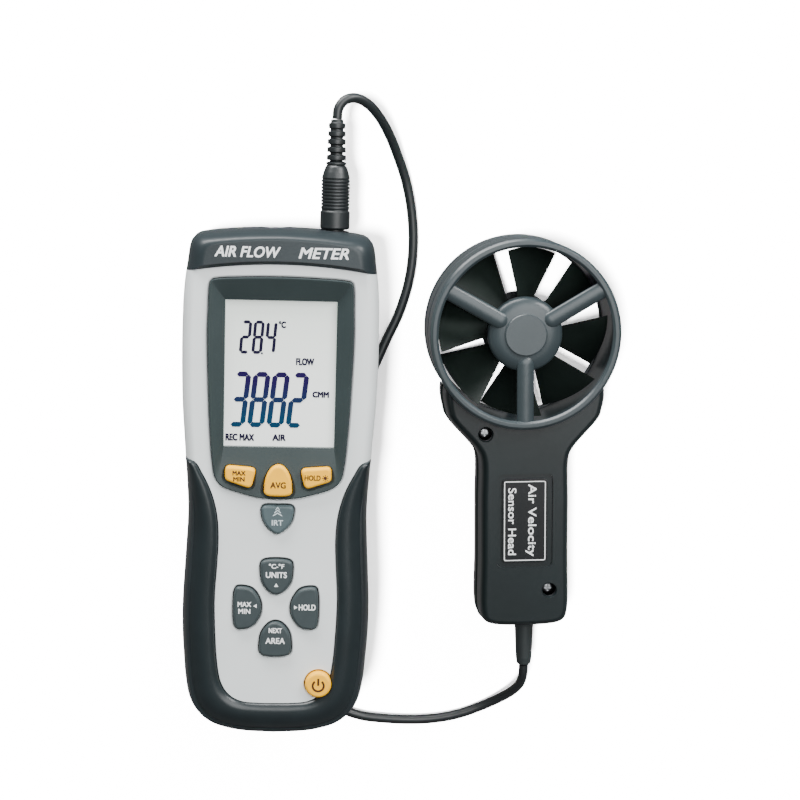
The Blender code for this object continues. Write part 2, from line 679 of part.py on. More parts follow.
def make_rotor(frame):
    hub = [(10.6, 22.5), (12.2, 20.5), (12.2, 11), (10.6, 9), (1.3, 9), (1.3, 22.5)]
    rotor = turned("impeller", hub, (0, 0, 0), ring=True, segments=24, material="vane_plastic")
    ride_on(rotor, frame)
    for i in range(BLADES):
        blade = blade_sheet("blade_%d" % i)
        blade.rotation_euler.z = math.radians(BLADE_START + 360 / BLADES * i)
        ride_on(blade, frame)
        unite(rotor, blade)
    shaft = cylinder("impeller_shaft", (0, 0, 0), 1.0, (3.1, 28.9), segments=16, material="steel")
    ride_on(shaft, frame)


def handle_rings(levels):
    return [(inset(HANDLE, d), z) for z, d in levels]


def label_area(half, low, high):
    return rectangle(LABEL_X - half, LABEL_X + half, low, high)


def make_handle(frame):
    ring_space = cylinder("ring_space", (0, 0, 0), RING_R + GAP, (-5, 40), segments=64)
    space = loft("handle_space", handle_rings([(2.4, 5.5), (5, 3), (PROBE_SEAM_Z, 2.4), (22, 3.4), (23.4, 5.4)]))
    bosses = []
    for i, (x, y) in enumerate(PROBE_SCREWS):
        bosses.append(cylinder("probe_boss_%d" % i, (x, y, 0), 4.0, (-1, 25), segments=12))
    cut(space, *bosses)
    relief_hole = cylinder("relief_hole", (RELIEF_X, 0, CORD_Z), 4.4, (-128, -107), "Y")
    low_split = box("low_split", (-50, -140, PROBE_SEAM_Z), (50, 20, 40))
    high_split = box("high_split", (-50, -140, -5), (50, 20, PROBE_SEAM_Z + GAP))

    rear = loft("probe_rear_shell", handle_rings([(0, 3.2), (1.0, 1.6), (3.6, 0.2), (14, 0)]), "probe_plastic")
    cut(rear, low_split, space, ring_space, relief_hole)
    front = loft("probe_front_shell", handle_rings([(13, 0.5), (21, 0.9), (24.6, 1.6), (HANDLE_Z, 2.9)]),
                 "probe_plastic")
    cut(front, high_split, space, ring_space, relief_hole)
    recess = prism("label_recess", rounded(label_area(11.3, -95.5, -57.0), 2.5), HANDLE_Z - 0.9, 40)
    cut(front, recess)
    plate = prism("label_plate", rounded(label_area(9.2, -93.5, -59.1), 1.6), HANDLE_Z - 0.6,
                  HANDLE_Z - 0.15, "label")
    moved = [ring_space, space, relief_hole, low_split, high_split, rear, front, recess, plate] + bosses
    for i, (x, y) in enumerate(PROBE_SCREWS):
        sink = cylinder("probe_counterbore_%d" % i, (x, y, 0), 2.7, (19.8, 40), segments=20)
        hole = cylinder("probe_screw_hole_%d" % i, (x, y, 0), 1.5, (7.5, 30), segments=12)
        cut(front, sink, hole)
        cut(rear, hole)
        moved += [sink, hole, screw("probe_screw_%d" % (i + 1), x, y, 21.8, 8.2, 2.3, 1.1)]
    for piece in moved:
        ride_on(piece, frame)


def make_probe_insides(frame):
    board = prism("pickup_board", rounded(rectangle(-9, 9, -98, -50), 1), 9.0, 10.4, "circuit_board")
    sensor = box("pickup_sensor", (-2.5, -48, 11), (2.5, -38.2, 16), "black_rubber")
    profile = [(0, 0), (2.9, 0), (3.3, 2), (3.9, 18), (4.1, 19.6), (4.1, 24.4), (5.2, 24.4), (5.2, 26.4), (0, 26.4)]
    relief = turned("probe_strain_relief", profile[::-1], (RELIEF_X, RELIEF_Y, CORD_Z), "Y", False, 20,
                    "black_rubber")
    for piece in (board, sensor, relief):
        ride_on(piece, frame)


def make_probe():
    frame = bpy.data.objects.new("probe_frame", None)
    PARTS.objects.link(frame)
    frame.location = (PROBE_XY[0] * MM, PROBE_XY[1] * MM, 0)
    frame.rotation_euler.z = PROBE_TURN
    make_ring_and_guards(frame)
    make_rotor(frame)
    make_handle(frame)
    make_probe_insides(frame)


# ---------------------------------------------------------------- cord
def make_cord():
    """Plug in the meter's socket, its ribbed boot, and the cable to the probe."""
    body = [(0, 29), (3.6, 29), (4.2, 28.2), (5.6, 23.8), (5.6, 11.8), (5.8, 11.4), (5.8, 4.2),
            (3.6, 4.2), (3.6, 0), (0, 0)]
    turned("plug_body", body, (SOCKET_X, 96.5, PLUG_Z), "Y", False, 24, "black_rubber")
    boot = [(0, 17), (2.9, 17)]
    for i in range(5):
        top = 16 - 3.2 * i
        radius = 3.3 + 0.12 * i
        boot += [(radius, top), (radius, top - 2.1), (radius - 0.9, top - 2.6)]
    boot += [(3.9, 0), (0, 0)]
    turned("plug_boot", boot, (SOCKET_X, 125.8, PLUG_Z), "Y", False, 12, "black_rubber")
    tube("signal_cable", even_path(ROUTE, 5.6), CABLE_R, "black_rubber")


def main():
    rear, front = make_cases()
    make_cap()
    grip = make_grip()
    bezel = make_bezel()
    make_display()
    make_keys(front, bezel, grip)
    make_insides()
    make_back()
    make_probe()
    make_cord()


main()
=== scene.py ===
"""Looks of the vane anemometer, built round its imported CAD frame.

Every piece is made in millimetres in the frame's own axes and scaled to
metres when its object is made. The probe's pieces are made round the
centre of its ring and then put in place by PROBE.
"""
import math

import bmesh
import bpy
from mathutils import Matrix, Vector


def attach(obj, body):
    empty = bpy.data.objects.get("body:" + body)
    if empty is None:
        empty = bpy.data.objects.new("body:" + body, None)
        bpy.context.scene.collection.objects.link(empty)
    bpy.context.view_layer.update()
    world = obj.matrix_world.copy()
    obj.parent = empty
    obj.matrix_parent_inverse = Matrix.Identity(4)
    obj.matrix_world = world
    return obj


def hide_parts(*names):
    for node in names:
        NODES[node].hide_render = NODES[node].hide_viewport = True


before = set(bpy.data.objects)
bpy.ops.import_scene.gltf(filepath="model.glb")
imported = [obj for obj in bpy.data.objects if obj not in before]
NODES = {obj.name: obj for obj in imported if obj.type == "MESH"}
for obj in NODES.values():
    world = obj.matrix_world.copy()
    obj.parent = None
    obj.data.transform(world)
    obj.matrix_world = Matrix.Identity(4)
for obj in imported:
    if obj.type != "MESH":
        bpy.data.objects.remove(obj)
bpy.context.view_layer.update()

MM = 0.001
GAP = 0.3

# ---------------------------------------------------------------- sizes shared with the frame
FOOT_Z = 0.9
SEAM_Z = 20.0
FACE_Z = 43.0
RAISED_Z = 45.0
GRIP_LOW_Z = 15.0
GRIP_CORE_Z = 41.0
GRIP_TOP_Y = 12.3
FLANK = 14.5
SKIN = 2.6
WALL = 5.2
HALF_WIDTH = 38.1
HALF_LENGTH = 101.0
POCKET_Z = 40.0
BEZEL_Z = 44.4
WINDOW_Z = 41.9
WINDOW_X = 21.4
WINDOW_Y = (16.8, 73.9)
LCD_Z = 40.1
DIGIT_RISE = 0.12
SOCKET_X = 20.1
PLUG_Z = 24.0
PLUG_Y = 96.5
BOOT_Y = 125.55
KEY_FLANGE = (36.4, 38.2)
KEY_TOP = 44.5
RAISED_KEY_TOP = 45.7
POWER_KEY = (17.3, -77.9, 5.2)
KEY_GAP = 0.35
INK_SUNK = 0.2
INK_PROUD = 0.05
STAND_Y = (-74.0, -13.0)
STAND_AXIS_Z = 2.0
PIN_BORE_R = 1.1
DOOR_Y = (13.0, 66.0)
DOOR_HALF = 15.5
TRIPOD_Y = 76.0
CASE_SCREWS = [(-17.0, 78.5), (17.0, 78.5), (-11.5, -82.0), (11.5, -82.0)]

# Right halves of the outlines, from the top middle to the bottom middle.
METER_HALF = [(0, 101), (12.5, 100.6), (22, 99.9), (30, 98.9), (33, 98), (34.9, 95.8),
              (36.3, 88), (37.6, 77), (38.1, 62), (38.1, 47), (37.7, 32), (36.7, 17), (35.9, 4),
              (35.3, -8), (35.4, -15), (36.1, -28), (37.1, -47), (37.1, -58), (36.4, -70), (35.6, -79),
              (34, -87), (30.8, -92.8), (25.6, -96.8), (18.6, -99.2), (11.4, -100.4), (0, -101)]
PANEL_HALF = [(0, 14), (37, 14), (37, 12.2), (32.2, 11), (29.2, 6.4), (26.2, 0.4), (24.2, -5.6),
              (23, -12), (22.6, -20), (22.9, -28), (23.8, -44), (23.3, -60), (22.5, -70),
              (21.2, -77), (19, -81.3), (16, -84), (12.2, -85.5), (6.5, -86), (0, -86.1)]
BEZEL_HALF = [(0, 83), (14, 82.7), (24.8, 82.0), (26.8, 81.4), (27.4, 79.6), (27.8, 70), (28, 60), (27.3, 38),
              (26.5, 22), (25.4, 10), (24.3, 4.6), (21.8, 1.6), (13.5, -1.4), (6.8, -2.9), (0, -3.4)]
HANDLE_HALF = [(0, -20), (31.9, -20), (31.9, -32.5), (30.6, -35.6), (20.2, -47.8), (18.8, -51.2),
               (18.7, -70), (18.7, -92), (18.7, -115.2), (17.2, -119), (13.4, -120.9), (0, -121.7)]

RING_Z = 32.0
RING_R = 38.0
RING_BORE = 34.6
ROTOR_Z = 16.0
BLADES = 8
BLADE_START = 37.4
BLADE_PITCH = math.radians(43.0)
BLADE_TIP = 33.8
SLOT_HALF_WIDTH = 1.85
PROBE_SEAM_Z = 13.6
HANDLE_Z = 26.0
CORD_Z = 13.6
HANDLE_X = 0.9
LABEL_X = 0.6
RELIEF_X = 2.1
RELIEF_Y = -140.2
PROBE_SCREWS = [(-15.3, -40.5), (10.8, -105.4)]
PROBE = Matrix.Translation(Vector((96.3, 61.5, 0)) * MM) @ Matrix.Rotation(math.radians(2.1), 4, "Z")

CABLE_R = 1.95
FLOOR_Z = 2.0
LIGHT_AIM = Vector((0.045, 0.02, 0.02))
ROUTE = [(103.5, -79.0, 13.6), (103.5, -83.0, 13.3), (102.8, -87.7, 11.2), (100.0, -92.4, 7.8),
         (95.0, -96.9, 4.4), (88.0, -101.1, 2.3), (78.5, -104.8, FLOOR_Z), (68.1, -106.9, FLOOR_Z),
         (57.1, -107.5, FLOOR_Z), (45.9, -107.0, FLOOR_Z), (36.6, -105.8, FLOOR_Z), (29.2, -102.9, FLOOR_Z),
         (24.9, -97.0, FLOOR_Z), (24.8, -88.6, FLOOR_Z), (26.9, -77.3, FLOOR_Z), (28.6, -62.0, FLOOR_Z),
         (29.2, -44.0, FLOOR_Z), (29.2, -22.0, FLOOR_Z), (29.5, -0.5, FLOOR_Z), (31.4, 19.0, FLOOR_Z),
         (35.8, 36.7, FLOOR_Z), (41.9, 52.5, FLOOR_Z), (47.9, 66.5, FLOOR_Z), (51.6, 80.5, FLOOR_Z),
         (52.7, 94.5, FLOOR_Z), (51.5, 108.4, 2.2), (48.8, 120.0, 3.4), (45.1, 129.7, 6.2),
         (41.3, 137.8, 10.2), (37.0, 144.5, 14.6), (32.2, 149.3, 18.6), (27.1, 151.5, 21.6),
         (22.8, 150.4, 23.4), (20.5, 147.2, 24.0), (20.1, 143.1, 24.0)]


# ---------------------------------------------------------------- curves and outlines
def smooth(points, closed=False, steps=8):
    """Centripetal Catmull-Rom curve through the points."""
    knots = [Vector(p) for p in points]
    count = len(knots)
    path = []
    for i in range(count if closed else count - 1):
        p1, p2 = knots[i], knots[(i + 1) % count]
        p0 = knots[i - 1] if closed or i else 2 * p1 - p2
        p3 = knots[(i + 2) % count] if closed or i + 2 < count else 2 * p2 - p1
        t0 = -math.sqrt((p1 - p0).length)
        t2 = math.sqrt((p2 - p1).length)
        t3 = t2 + math.sqrt((p3 - p2).length)
        for k in range(steps):
            t = t2 * k / steps
            a1 = p0.lerp(p1, (t - t0) / -t0)
            a2 = p1.lerp(p2, t / t2)
            a3 = p2.lerp(p3, (t - t2) / (t3 - t2))
            b1 = a1.lerp(a2, (t - t0) / (t2 - t0))
            b2 = a2.lerp(a3, t / t3)
            path.append(b1.lerp(b2, t / t2))
    if not closed:
        path.append(knots[-1])
    return path


def evenly(path, count, closed=False):
    """The path again, as points an even distance apart."""
    line = list(path) + [path[0]] if closed else list(path)
    reach = [0.0]
    for a, b in zip(line, line[1:]):
        reach.append(reach[-1] + (b - a).length)
    spans = count if closed else count - 1
    points = []
    j = 0
    for i in range(count):
        target = reach[-1] * i / spans
        while j < len(line) - 2 and reach[j + 1] < target:
            j += 1
        points.append(line[j].lerp(line[j + 1], (target - reach[j]) / (reach[j + 1] - reach[j])))
    return points


def mirrored(half):
    """Closed outline from its right half."""
    return list(half) + [(-x, y) for x, y in reversed(half[1:-1])]


def round_outline(half, count):
    return evenly(smooth(mirrored(half), closed=True), count, closed=True)


def soften(points, radius, closed=False, steps=4):
    """A line of 2D points with its corners rounded."""
    line = [Vector(p) for p in points]
    out = []
    for i, here in enumerate(line):
        if not closed and i in (0, len(line) - 1):
            out.append(here)
            continue
        before = line[i - 1] - here
        after = line[(i + 1) % len(line)] - here
        half = before.angle(after) / 2
        reach = min(radius / math.tan(half), before.length * 0.48, after.length * 0.48)
        start = here + before.normalized() * reach
        end = here + after.normalized() * reach
        for k in range(steps + 1):
            t = k / steps
            out.append(start.lerp(here, t).lerp(here.lerp(end, t), t))
    return out


def offset(outline, amount):
    """Closed outline moved inwards along its normals."""
    count = len(outline)
    area = sum(outline[i - 1].cross(outline[i]) for i in range(count))
    side = 1 if area > 0 else -1
    moved = []
    for i in range(count):
        before = outline[i] - outline[i - 1]
        after = outline[(i + 1) % count] - outline[i]
        normal_a = Vector((-before.y, before.x)).normalized() * side
        normal_b = Vector((-after.y, after.x)).normalized() * side
        normal = (normal_a + normal_b).normalized()
        moved.append(outline[i] + normal * amount * min(1 / max(normal.dot(normal_a), 0.5), 1.4))
    return moved


def circle(x, y, radius, count=48):
    angles = [2 * math.pi * i / count for i in range(count)]
    return [Vector((x + radius * math.cos(a), y + radius * math.sin(a))) for a in angles]


def quarter(steps, first=0):
    """Angles of a quarter turn, in even steps."""
    return [math.pi / 2 * k / steps for k in range(first, steps + 1)]


def rectangle(x0, x1, y0, y1):
    return [Vector(p) for p in ((x0, y1), (x1, y1), (x1, y0), (x0, y0))]


def level(outline, z):
    return [Vector((p[0], p[1], z)) for p in outline]


METER = round_outline(METER_HALF, 260)
PANEL = round_outline(PANEL_HALF, 240)
HANDLE = [Vector((x + HANDLE_X, y)) for x, y in mirrored(HANDLE_HALF)]


def shrink(amount, end_amount=None):
    """The meter's outline drawn in by an amount at its sides and another at its ends."""
    wide = 1 - amount / HALF_WIDTH
    long = 1 - (amount if end_amount is None else end_amount) / HALF_LENGTH
    return [Vector((p.x * wide, p.y * long)) for p in METER]


# ---------------------------------------------------------------- meshes
def placed(name, data):
    """Object of some data, linked to the scene."""
    obj = bpy.data.objects.new(name, data)
    bpy.context.scene.collection.objects.link(obj)
    return obj


def shade(mesh, sharp):
    """Smooth shading up to an angle in degrees."""
    mesh.shade_smooth()
    mesh.set_sharp_from_angle(angle=math.radians(sharp))


def make_object(name, bm, material=None, sharp=32):
    """Object in metres from a mesh in millimetres, its faces turned outwards."""
    bmesh.ops.recalc_face_normals(bm, faces=bm.faces)
    if bm.calc_volume(signed=True) < 0:
        bmesh.ops.reverse_faces(bm, faces=bm.faces)
    bmesh.ops.scale(bm, vec=(MM, MM, MM), verts=bm.verts)
    mesh = bpy.data.meshes.new(name)
    bm.to_mesh(mesh)
    bm.free()
    shade(mesh, sharp)
    if material:
        mesh.materials.append(material)
    return placed(name, mesh)


def loft(name, rings, material=None, closed=False, sharp=32):
    """Skin through rings of points with equal counts, with end faces unless it closes on itself."""
    bm = bmesh.new()
    loops = [[bm.verts.new(p) for p in ring] for ring in rings]
    pairs = list(zip(loops, loops[1:]))
    if closed:
        pairs.append((loops[-1], loops[0]))
    for low, high in pairs:
        for i in range(len(low)):
            bm.faces.new((low[i - 1], low[i], high[i], high[i - 1]))
    if not closed:
        bm.faces.new(loops[0])
        bm.faces.new(loops[-1])
    return make_object(name, bm, material, sharp)


def prism(name, outline, z_low, z_high, material=None):
    return loft(name, [level(outline, z_low), level(outline, z_high)], material)


def slab(name, outline, z_low, z_high, edge, material=None):
    """Flat piece with its upper edge rounded."""
    rings = [level(outline, z_low), level(outline, z_high - edge)]
    for a in quarter(4, 1):
        rings.append(level(offset(outline, edge * (1 - math.cos(a))), z_high - edge * (1 - math.sin(a))))
    return loft(name, rings, material)


def block(name, low, high, material=None):
    return prism(name, rectangle(low[0], high[0], low[1], high[1]), low[2], high[2], material)


def lathe(name, profile, material=None, closed=False, segments=96, sharp=32):
    """Profile of (radius, height) turned about Z."""
    bm = bmesh.new()
    columns = []
    for k in range(segments):
        c, s = math.cos(2 * math.pi * k / segments), math.sin(2 * math.pi * k / segments)
        columns.append([bm.verts.new((r * c, r * s, z)) for r, z in profile])
    count = len(profile)
    for k in range(segments):
        for i in range(count if closed else count - 1):
            j = (i + 1) % count
            bm.faces.new((columns[k - 1][i], columns[k][i], columns[k][j], columns[k - 1][j]))
    bmesh.ops.remove_doubles(bm, verts=bm.verts, dist=0.0001)
    return make_object(name, bm, material, sharp)


def rod(name, radius, low, high, segments=96):
    return lathe(name, [(0, low), (radius, low), (radius, high), (0, high)], segments=segments)


def moved(obj, matrix):
    obj.data.transform(matrix)
    return obj


def shifted(obj, x=0.0, y=0.0, z=0.0):
    return moved(obj, Matrix.Translation(Vector((x, y, z)) * MM))


def along_y(obj, x, y, z):
    """Stand a turned piece's axis along +Y, with its base at a point."""
    place = Matrix.Translation(Vector((x, y, z)) * MM)
    return moved(obj, place @ Matrix.Rotation(-math.pi / 2, 4, "X"))


def along_x(obj, x, y, z):
    place = Matrix.Translation(Vector((x, y, z)) * MM)
    return moved(obj, place @ Matrix.Rotation(math.pi / 2, 4, "Y"))


def combine(obj, operation, others, sharp=32):
    """One exact Boolean between an object and others, which it uses up."""
    group = bpy.data.collections.new("operands")
    for other in others:
        group.objects.link(other)
    boolean = obj.modifiers.new("boolean", "BOOLEAN")
    boolean.operation = operation
    boolean.solver = "EXACT"
    boolean.operand_type = "COLLECTION"
    boolean.collection = group
    graph = bpy.context.evaluated_depsgraph_get()
    mesh = bpy.data.meshes.new_from_object(obj.evaluated_get(graph))
    obj.modifiers.clear()
    obj.data = mesh
    for other in others:
        bpy.data.objects.remove(other)
    bpy.data.collections.remove(group)
    shade(mesh, sharp)
    return obj


def cut(obj, *others):
    return combine(obj, "DIFFERENCE", others)


def unite(obj, *others):
    for other in others:
        combine(obj, "UNION", [other])
    return obj


def joined(name, pieces, material):
    """Separate bodies kept as one object, such as the letters of a legend."""
    bm = bmesh.new()
    for piece in pieces:
        bm.from_mesh(piece.data)
        bpy.data.objects.remove(piece)
    mesh = bpy.data.meshes.new(name)
    bm.to_mesh(mesh)
    bm.free()
    mesh.materials.clear()
    mesh.materials.append(material)
    shade(mesh, 30)
    return placed(name, mesh)


def install(obj, body, slot, *nodes):
    """Let a finished piece ride on a body, in place of the CAD nodes that it stands for."""
    normals = obj.modifiers.new("even_shading", "WEIGHTED_NORMAL")
    normals.keep_sharp = True
    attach(obj, body)
    if nodes:
        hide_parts(*nodes)
    return obj


# ---------------------------------------------------------------- materials
def node_of(tree, kind, **values):
    """Shader node with its settings and the values of its inputs."""
    node = tree.nodes.new(kind)
    for key, value in values.items():
        if hasattr(node, key):
            setattr(node, key, value)
        else:
            node.inputs[key.replace("_", " ")].default_value = value
    return node


def noise(tree, size, detail=2.0, stretch=(1, 1, 1)):
    """Noise whose features are about a size in millimetres."""
    place = node_of(tree, "ShaderNodeTexCoord")
    scale = node_of(tree, "ShaderNodeMapping")
    scale.inputs["Scale"].default_value = [1 / (size * MM) / s for s in stretch]
    pattern = node_of(tree, "ShaderNodeTexNoise", Scale=1.0, Detail=detail)
    tree.links.new(place.outputs["Object"], scale.inputs["Vector"])
    tree.links.new(scale.outputs["Vector"], pattern.inputs["Vector"])
    return pattern.outputs["Fac"]


def ramp(tree, source, low, high, start=0.3, end=0.7):
    """Colour that runs between two as a value runs between two."""
    mix = node_of(tree, "ShaderNodeValToRGB")
    mix.color_ramp.elements[0].position = start
    mix.color_ramp.elements[1].position = end
    mix.color_ramp.elements[0].color = (*low, 1)
    mix.color_ramp.elements[1].color = (*high, 1)
    tree.links.new(source, mix.inputs["Fac"])
    return mix.outputs["Color"]


def spread(tree, source, low, high):
    """Number that runs between two as a noise does."""
    fit = node_of(tree, "ShaderNodeMapRange")
    for socket, value in (("From Min", 0.3), ("From Max", 0.7), ("To Min", low), ("To Max", high)):
        fit.inputs[socket].default_value = value
    tree.links.new(source, fit.inputs["Value"])
    return fit.outputs["Result"]


def surface(name, colour, roughness, vary=0.08, blotch=14.0, grain=0.3, bump=0.25, stretch=(1, 1, 1),
            **values):
    """Moulded or machined surface: broad colour variation, and fine grain in its gloss and relief."""
    material = bpy.data.materials.new(name)
    material.use_nodes = True
    tree = material.node_tree
    shader = tree.nodes["Principled BSDF"]
    broad = noise(tree, blotch, 3.0)
    fine = noise(tree, grain, 2.0, stretch)
    low = [c * (1 - vary) for c in colour]
    high = [min(c * (1 + vary), 1) for c in colour]
    tree.links.new(ramp(tree, broad, low, high), shader.inputs["Base Color"])
    tree.links.new(spread(tree, fine, roughness * 0.88, roughness * 1.12), shader.inputs["Roughness"])
    relief = node_of(tree, "ShaderNodeBump", Strength=bump, Distance=grain * 0.12 * MM)
    tree.links.new(fine, relief.inputs["Height"])
    tree.links.new(relief.outputs["Normal"], shader.inputs["Normal"])
    for socket, value in values.items():
        shader.inputs[socket.replace("_", " ")].default_value = value
    return material


def gradient_surface(name, low, high, axis, start, end, roughness, **values):
    """Surface whose colour runs from one to another along an axis, with a fine mottle."""
    material = surface(name, low, roughness, 0.05, 6.0, 0.2, 0.05, **values)
    tree = material.node_tree
    shader = tree.nodes["Principled BSDF"]
    place = node_of(tree, "ShaderNodeTexCoord")
    axes = node_of(tree, "ShaderNodeSeparateXYZ")
    fit = node_of(tree, "ShaderNodeMapRange")
    fit.inputs["From Min"].default_value = start * MM
    fit.inputs["From Max"].default_value = end * MM
    tree.links.new(place.outputs["Object"], axes.inputs["Vector"])
    tree.links.new(axes.outputs[axis], fit.inputs["Value"])
    tree.links.new(ramp(tree, fit.outputs["Result"], low, high, 0.0, 1.0), shader.inputs["Base Color"])
    return material


SATIN = {"Specular_IOR_Level": 0.3}
DULL = {"Specular_IOR_Level": 0.05}
M = {
    "light_case": surface("light_case", (0.70, 0.74, 0.74), 0.5, 0.03, 30, 0.35, 0.2, **SATIN),
    "dark_case": surface("dark_case", (0.016, 0.023, 0.026), 0.38, 0.08, 20, 0.35, 0.3, **SATIN),
    "grip": surface("soft_grip", (0.009, 0.014, 0.016), 0.32, 0.12, 12, 0.25, 0.35, Specular_IOR_Level=0.4),
    "bezel": surface("bezel", (0.026, 0.037, 0.038), 0.42, 0.06, 16, 0.25, 0.15, Specular_IOR_Level=0.2),
    "probe": surface("probe_shell", (0.007, 0.011, 0.012), 0.34, 0.08, 18, 0.35, 0.3, **SATIN),
    "guard": surface("guard", (0.024, 0.034, 0.038), 0.34, 0.08, 14, 0.3, 0.25, Specular_IOR_Level=0.4),
    "vane": surface("vane", (0.009, 0.014, 0.012), 0.5, 0.15, 9, 0.3, 0.25, Specular_IOR_Level=0.2),
    "yellow": surface("yellow_key", (1.0, 0.49, 0.015), 0.42, 0.04, 5, 0.25, 0.2, Specular_IOR_Level=0.1),
    "blue": surface("blue_key", (0.062, 0.088, 0.095), 0.45, 0.06, 5, 0.25, 0.2, **SATIN),
    "grey": surface("grey_key", (0.034, 0.046, 0.049), 0.45, 0.06, 5, 0.25, 0.2, **SATIN),
    "brown_ink": surface("brown_ink", (0.045, 0.012, 0.002), 0.55, 0.1, 2, 0.15, 0.2, **SATIN),
    "white_ink": surface("white_ink", (0.85, 0.87, 0.87), 0.5, 0.04, 3, 0.15, 0.1),
    "pale_ink": surface("pale_ink", (0.50, 0.58, 0.60), 0.5, 0.05, 3, 0.15, 0.1),
    "label": surface("label", (0.004, 0.005, 0.006), 0.32, 0.12, 8, 0.2, 0.1, **SATIN),
    "rubber": surface("black_rubber", (0.006, 0.009, 0.010), 0.42, 0.15, 8, 0.22, 0.35),
    "relief": surface("relief_rubber", (0.018, 0.024, 0.025), 0.45, 0.12, 8, 0.22, 0.35),
    "cable": surface("cable_jacket", (0.007, 0.010, 0.011), 0.4, 0.12, 12, 0.2, 0.3),
    "steel": surface("steel", (0.30, 0.31, 0.32), 0.28, 0.06, 2, 0.12, 0.3, (1, 1, 6), Metallic=1.0),
    "brass": surface("brass", (0.62, 0.44, 0.18), 0.3, 0.06, 2, 0.12, 0.3, (1, 1, 6), Metallic=1.0),
    "board": surface("circuit_board", (0.02, 0.16, 0.06), 0.4, 0.25, 2.5, 0.5, 0.5),
    "socket": surface("socket_shell", (0.02, 0.024, 0.026), 0.35, 0.1, 4, 0.2, 0.2),
    "lens": surface("dark_lens", (0.03, 0.035, 0.06), 0.12, 0.1, 3, 0.4, 0.02, Coat_Weight=0.6),
    # Painted glow: the LCD's emission makes it shine though the display is no lamp. Its colour also runs
    # darker towards the window's top edge.
    "lcd": gradient_surface("lcd_glass_painted_glow", (0.84, 0.88, 0.85), (0.72, 0.79, 0.73), "Y", 40, 74, 0.35,
                            Emission_Color=(0.95, 1, 0.96, 1), Emission_Strength=0.45, **SATIN),
    "digit": gradient_surface("lcd_digit", (0.003, 0.036, 0.085), (0.012, 0.004, 0.06), "Y", 28, 42, 0.5,
                              **DULL),
    "small_digit": surface("lcd_small_digit", (0.008, 0.005, 0.028), 0.5, 0.1, 2, 0.15, 0.1, **DULL),
    "window": surface("clear_window", (0.02, 0.03, 0.03), 0.06, 0.02, 20, 0.6, 0.02, Alpha=0.04, **DULL),
    "battery": gradient_surface("battery_wrap", (0.02, 0.022, 0.03), (0.45, 0.30, 0.08), "Y", 44, 45, 0.3),
}


# ---------------------------------------------------------------- camera, lights and floor
def make_camera():
    """Camera about 0.64 m away, over the meter's upper half, so that it sees the probe from its left."""
    aim = Vector((46.5, 36.4, 42.0)) * MM
    lean = math.radians(9.0)
    yaw = math.radians(4.0)
    turn = math.radians(1.74)
    distance = 0.64
    back = Vector((-math.sin(yaw) * math.cos(lean), math.sin(lean), math.cos(yaw) * math.cos(lean)))
    up = (Vector((0, 1, 0)) - back * back.y).normalized()
    right = up.cross(back)
    up_turned = up * math.cos(turn) - right * math.sin(turn)
    right_turned = up_turned.cross(back)
    data = bpy.data.cameras.new("camera")
    data.lens = 74.3
    data.sensor_width = 36.0
    camera = placed("camera", data)
    camera.matrix_world = Matrix.Translation(aim + back * distance) @ Matrix(
        (right_turned, up_turned, back)).transposed().to_4x4()
    bpy.context.scene.camera = camera


def make_light(name, place, size, power):
    data = bpy.data.lights.new(name, "AREA")
    data.shape = "RECTANGLE"
    data.size, data.size_y = size
    data.energy = power
    light = placed(name, data)
    light.location = place
    light.rotation_euler = (LIGHT_AIM - Vector(place)).to_track_quat("-Z", "Y").to_euler()


def make_floor_light(floor):
    """Broad sun that reaches only the floor, which the pieces shade softly to their right."""
    data = bpy.data.lights.new("floor_sun", "SUN")
    data.energy = 50
    data.angle = math.radians(10)
    sun = placed("floor_sun", data)
    sun.rotation_euler = Vector((0.24, 0.03, -1.0)).to_track_quat("-Z", "Y").to_euler()
    lit = bpy.data.collections.new("lit_by_floor_sun")
    lit.objects.link(floor)
    sun.light_linking.receiver_collection = lit


def make_stage():
    mesh = bpy.data.meshes.new("floor")
    mesh.from_pydata([(-3, -3, 0), (3, -3, 0), (3, 3, 0), (-3, 3, 0)], [], [(0, 1, 2, 3)])
    floor = placed("floor", mesh)
    floor.location.z = -0.0002
    mesh.materials.append(surface("floor_paper", (0.92, 0.92, 0.92), 0.9, 0.01, 80, 2.0, 0.02,
                                  Emission_Color=(1, 1, 1, 1), Emission_Strength=0.6))
    floor.visible_diffuse = False
    floor.visible_glossy = False
    make_floor_light(floor)
    world = bpy.data.worlds.new("studio")
    world.use_nodes = True
    world.node_tree.nodes["Background"].inputs[0].default_value = (1, 1, 1, 1)
    world.node_tree.nodes["Background"].inputs[1].default_value = 0.3
    bpy.context.scene.world = world
    make_light("overhead", (0.27, 0.31, 1.0), (0.75, 0.8), 13)
    make_light("upper_right", (0.7, 0.75, 0.55), (0.35, 0.35), 12)
    make_light("upper_left", (-0.3, 0.95, 0.22), (0.9, 0.25), 26)


# ---------------------------------------------------------------- cable, plug and strain relief
def make_cable():
    path = evenly(smooth(ROUTE, steps=24), 300)
    curve = bpy.data.curves.new("cable", "CURVE")
    curve.dimensions = "3D"
    curve.bevel_depth = CABLE_R * MM
    curve.bevel_resolution = 6
    curve.use_fill_caps = True
    spline = curve.splines.new("POLY")
    spline.points.add(len(path) - 1)
    for point, place in zip(spline.points, path):
        point.co = (*(place * MM), 1)
    curve.materials.append(M["cable"])
    cable = placed("cable", curve)
    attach(cable, "root")
    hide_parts("signal_cable")
    return cable


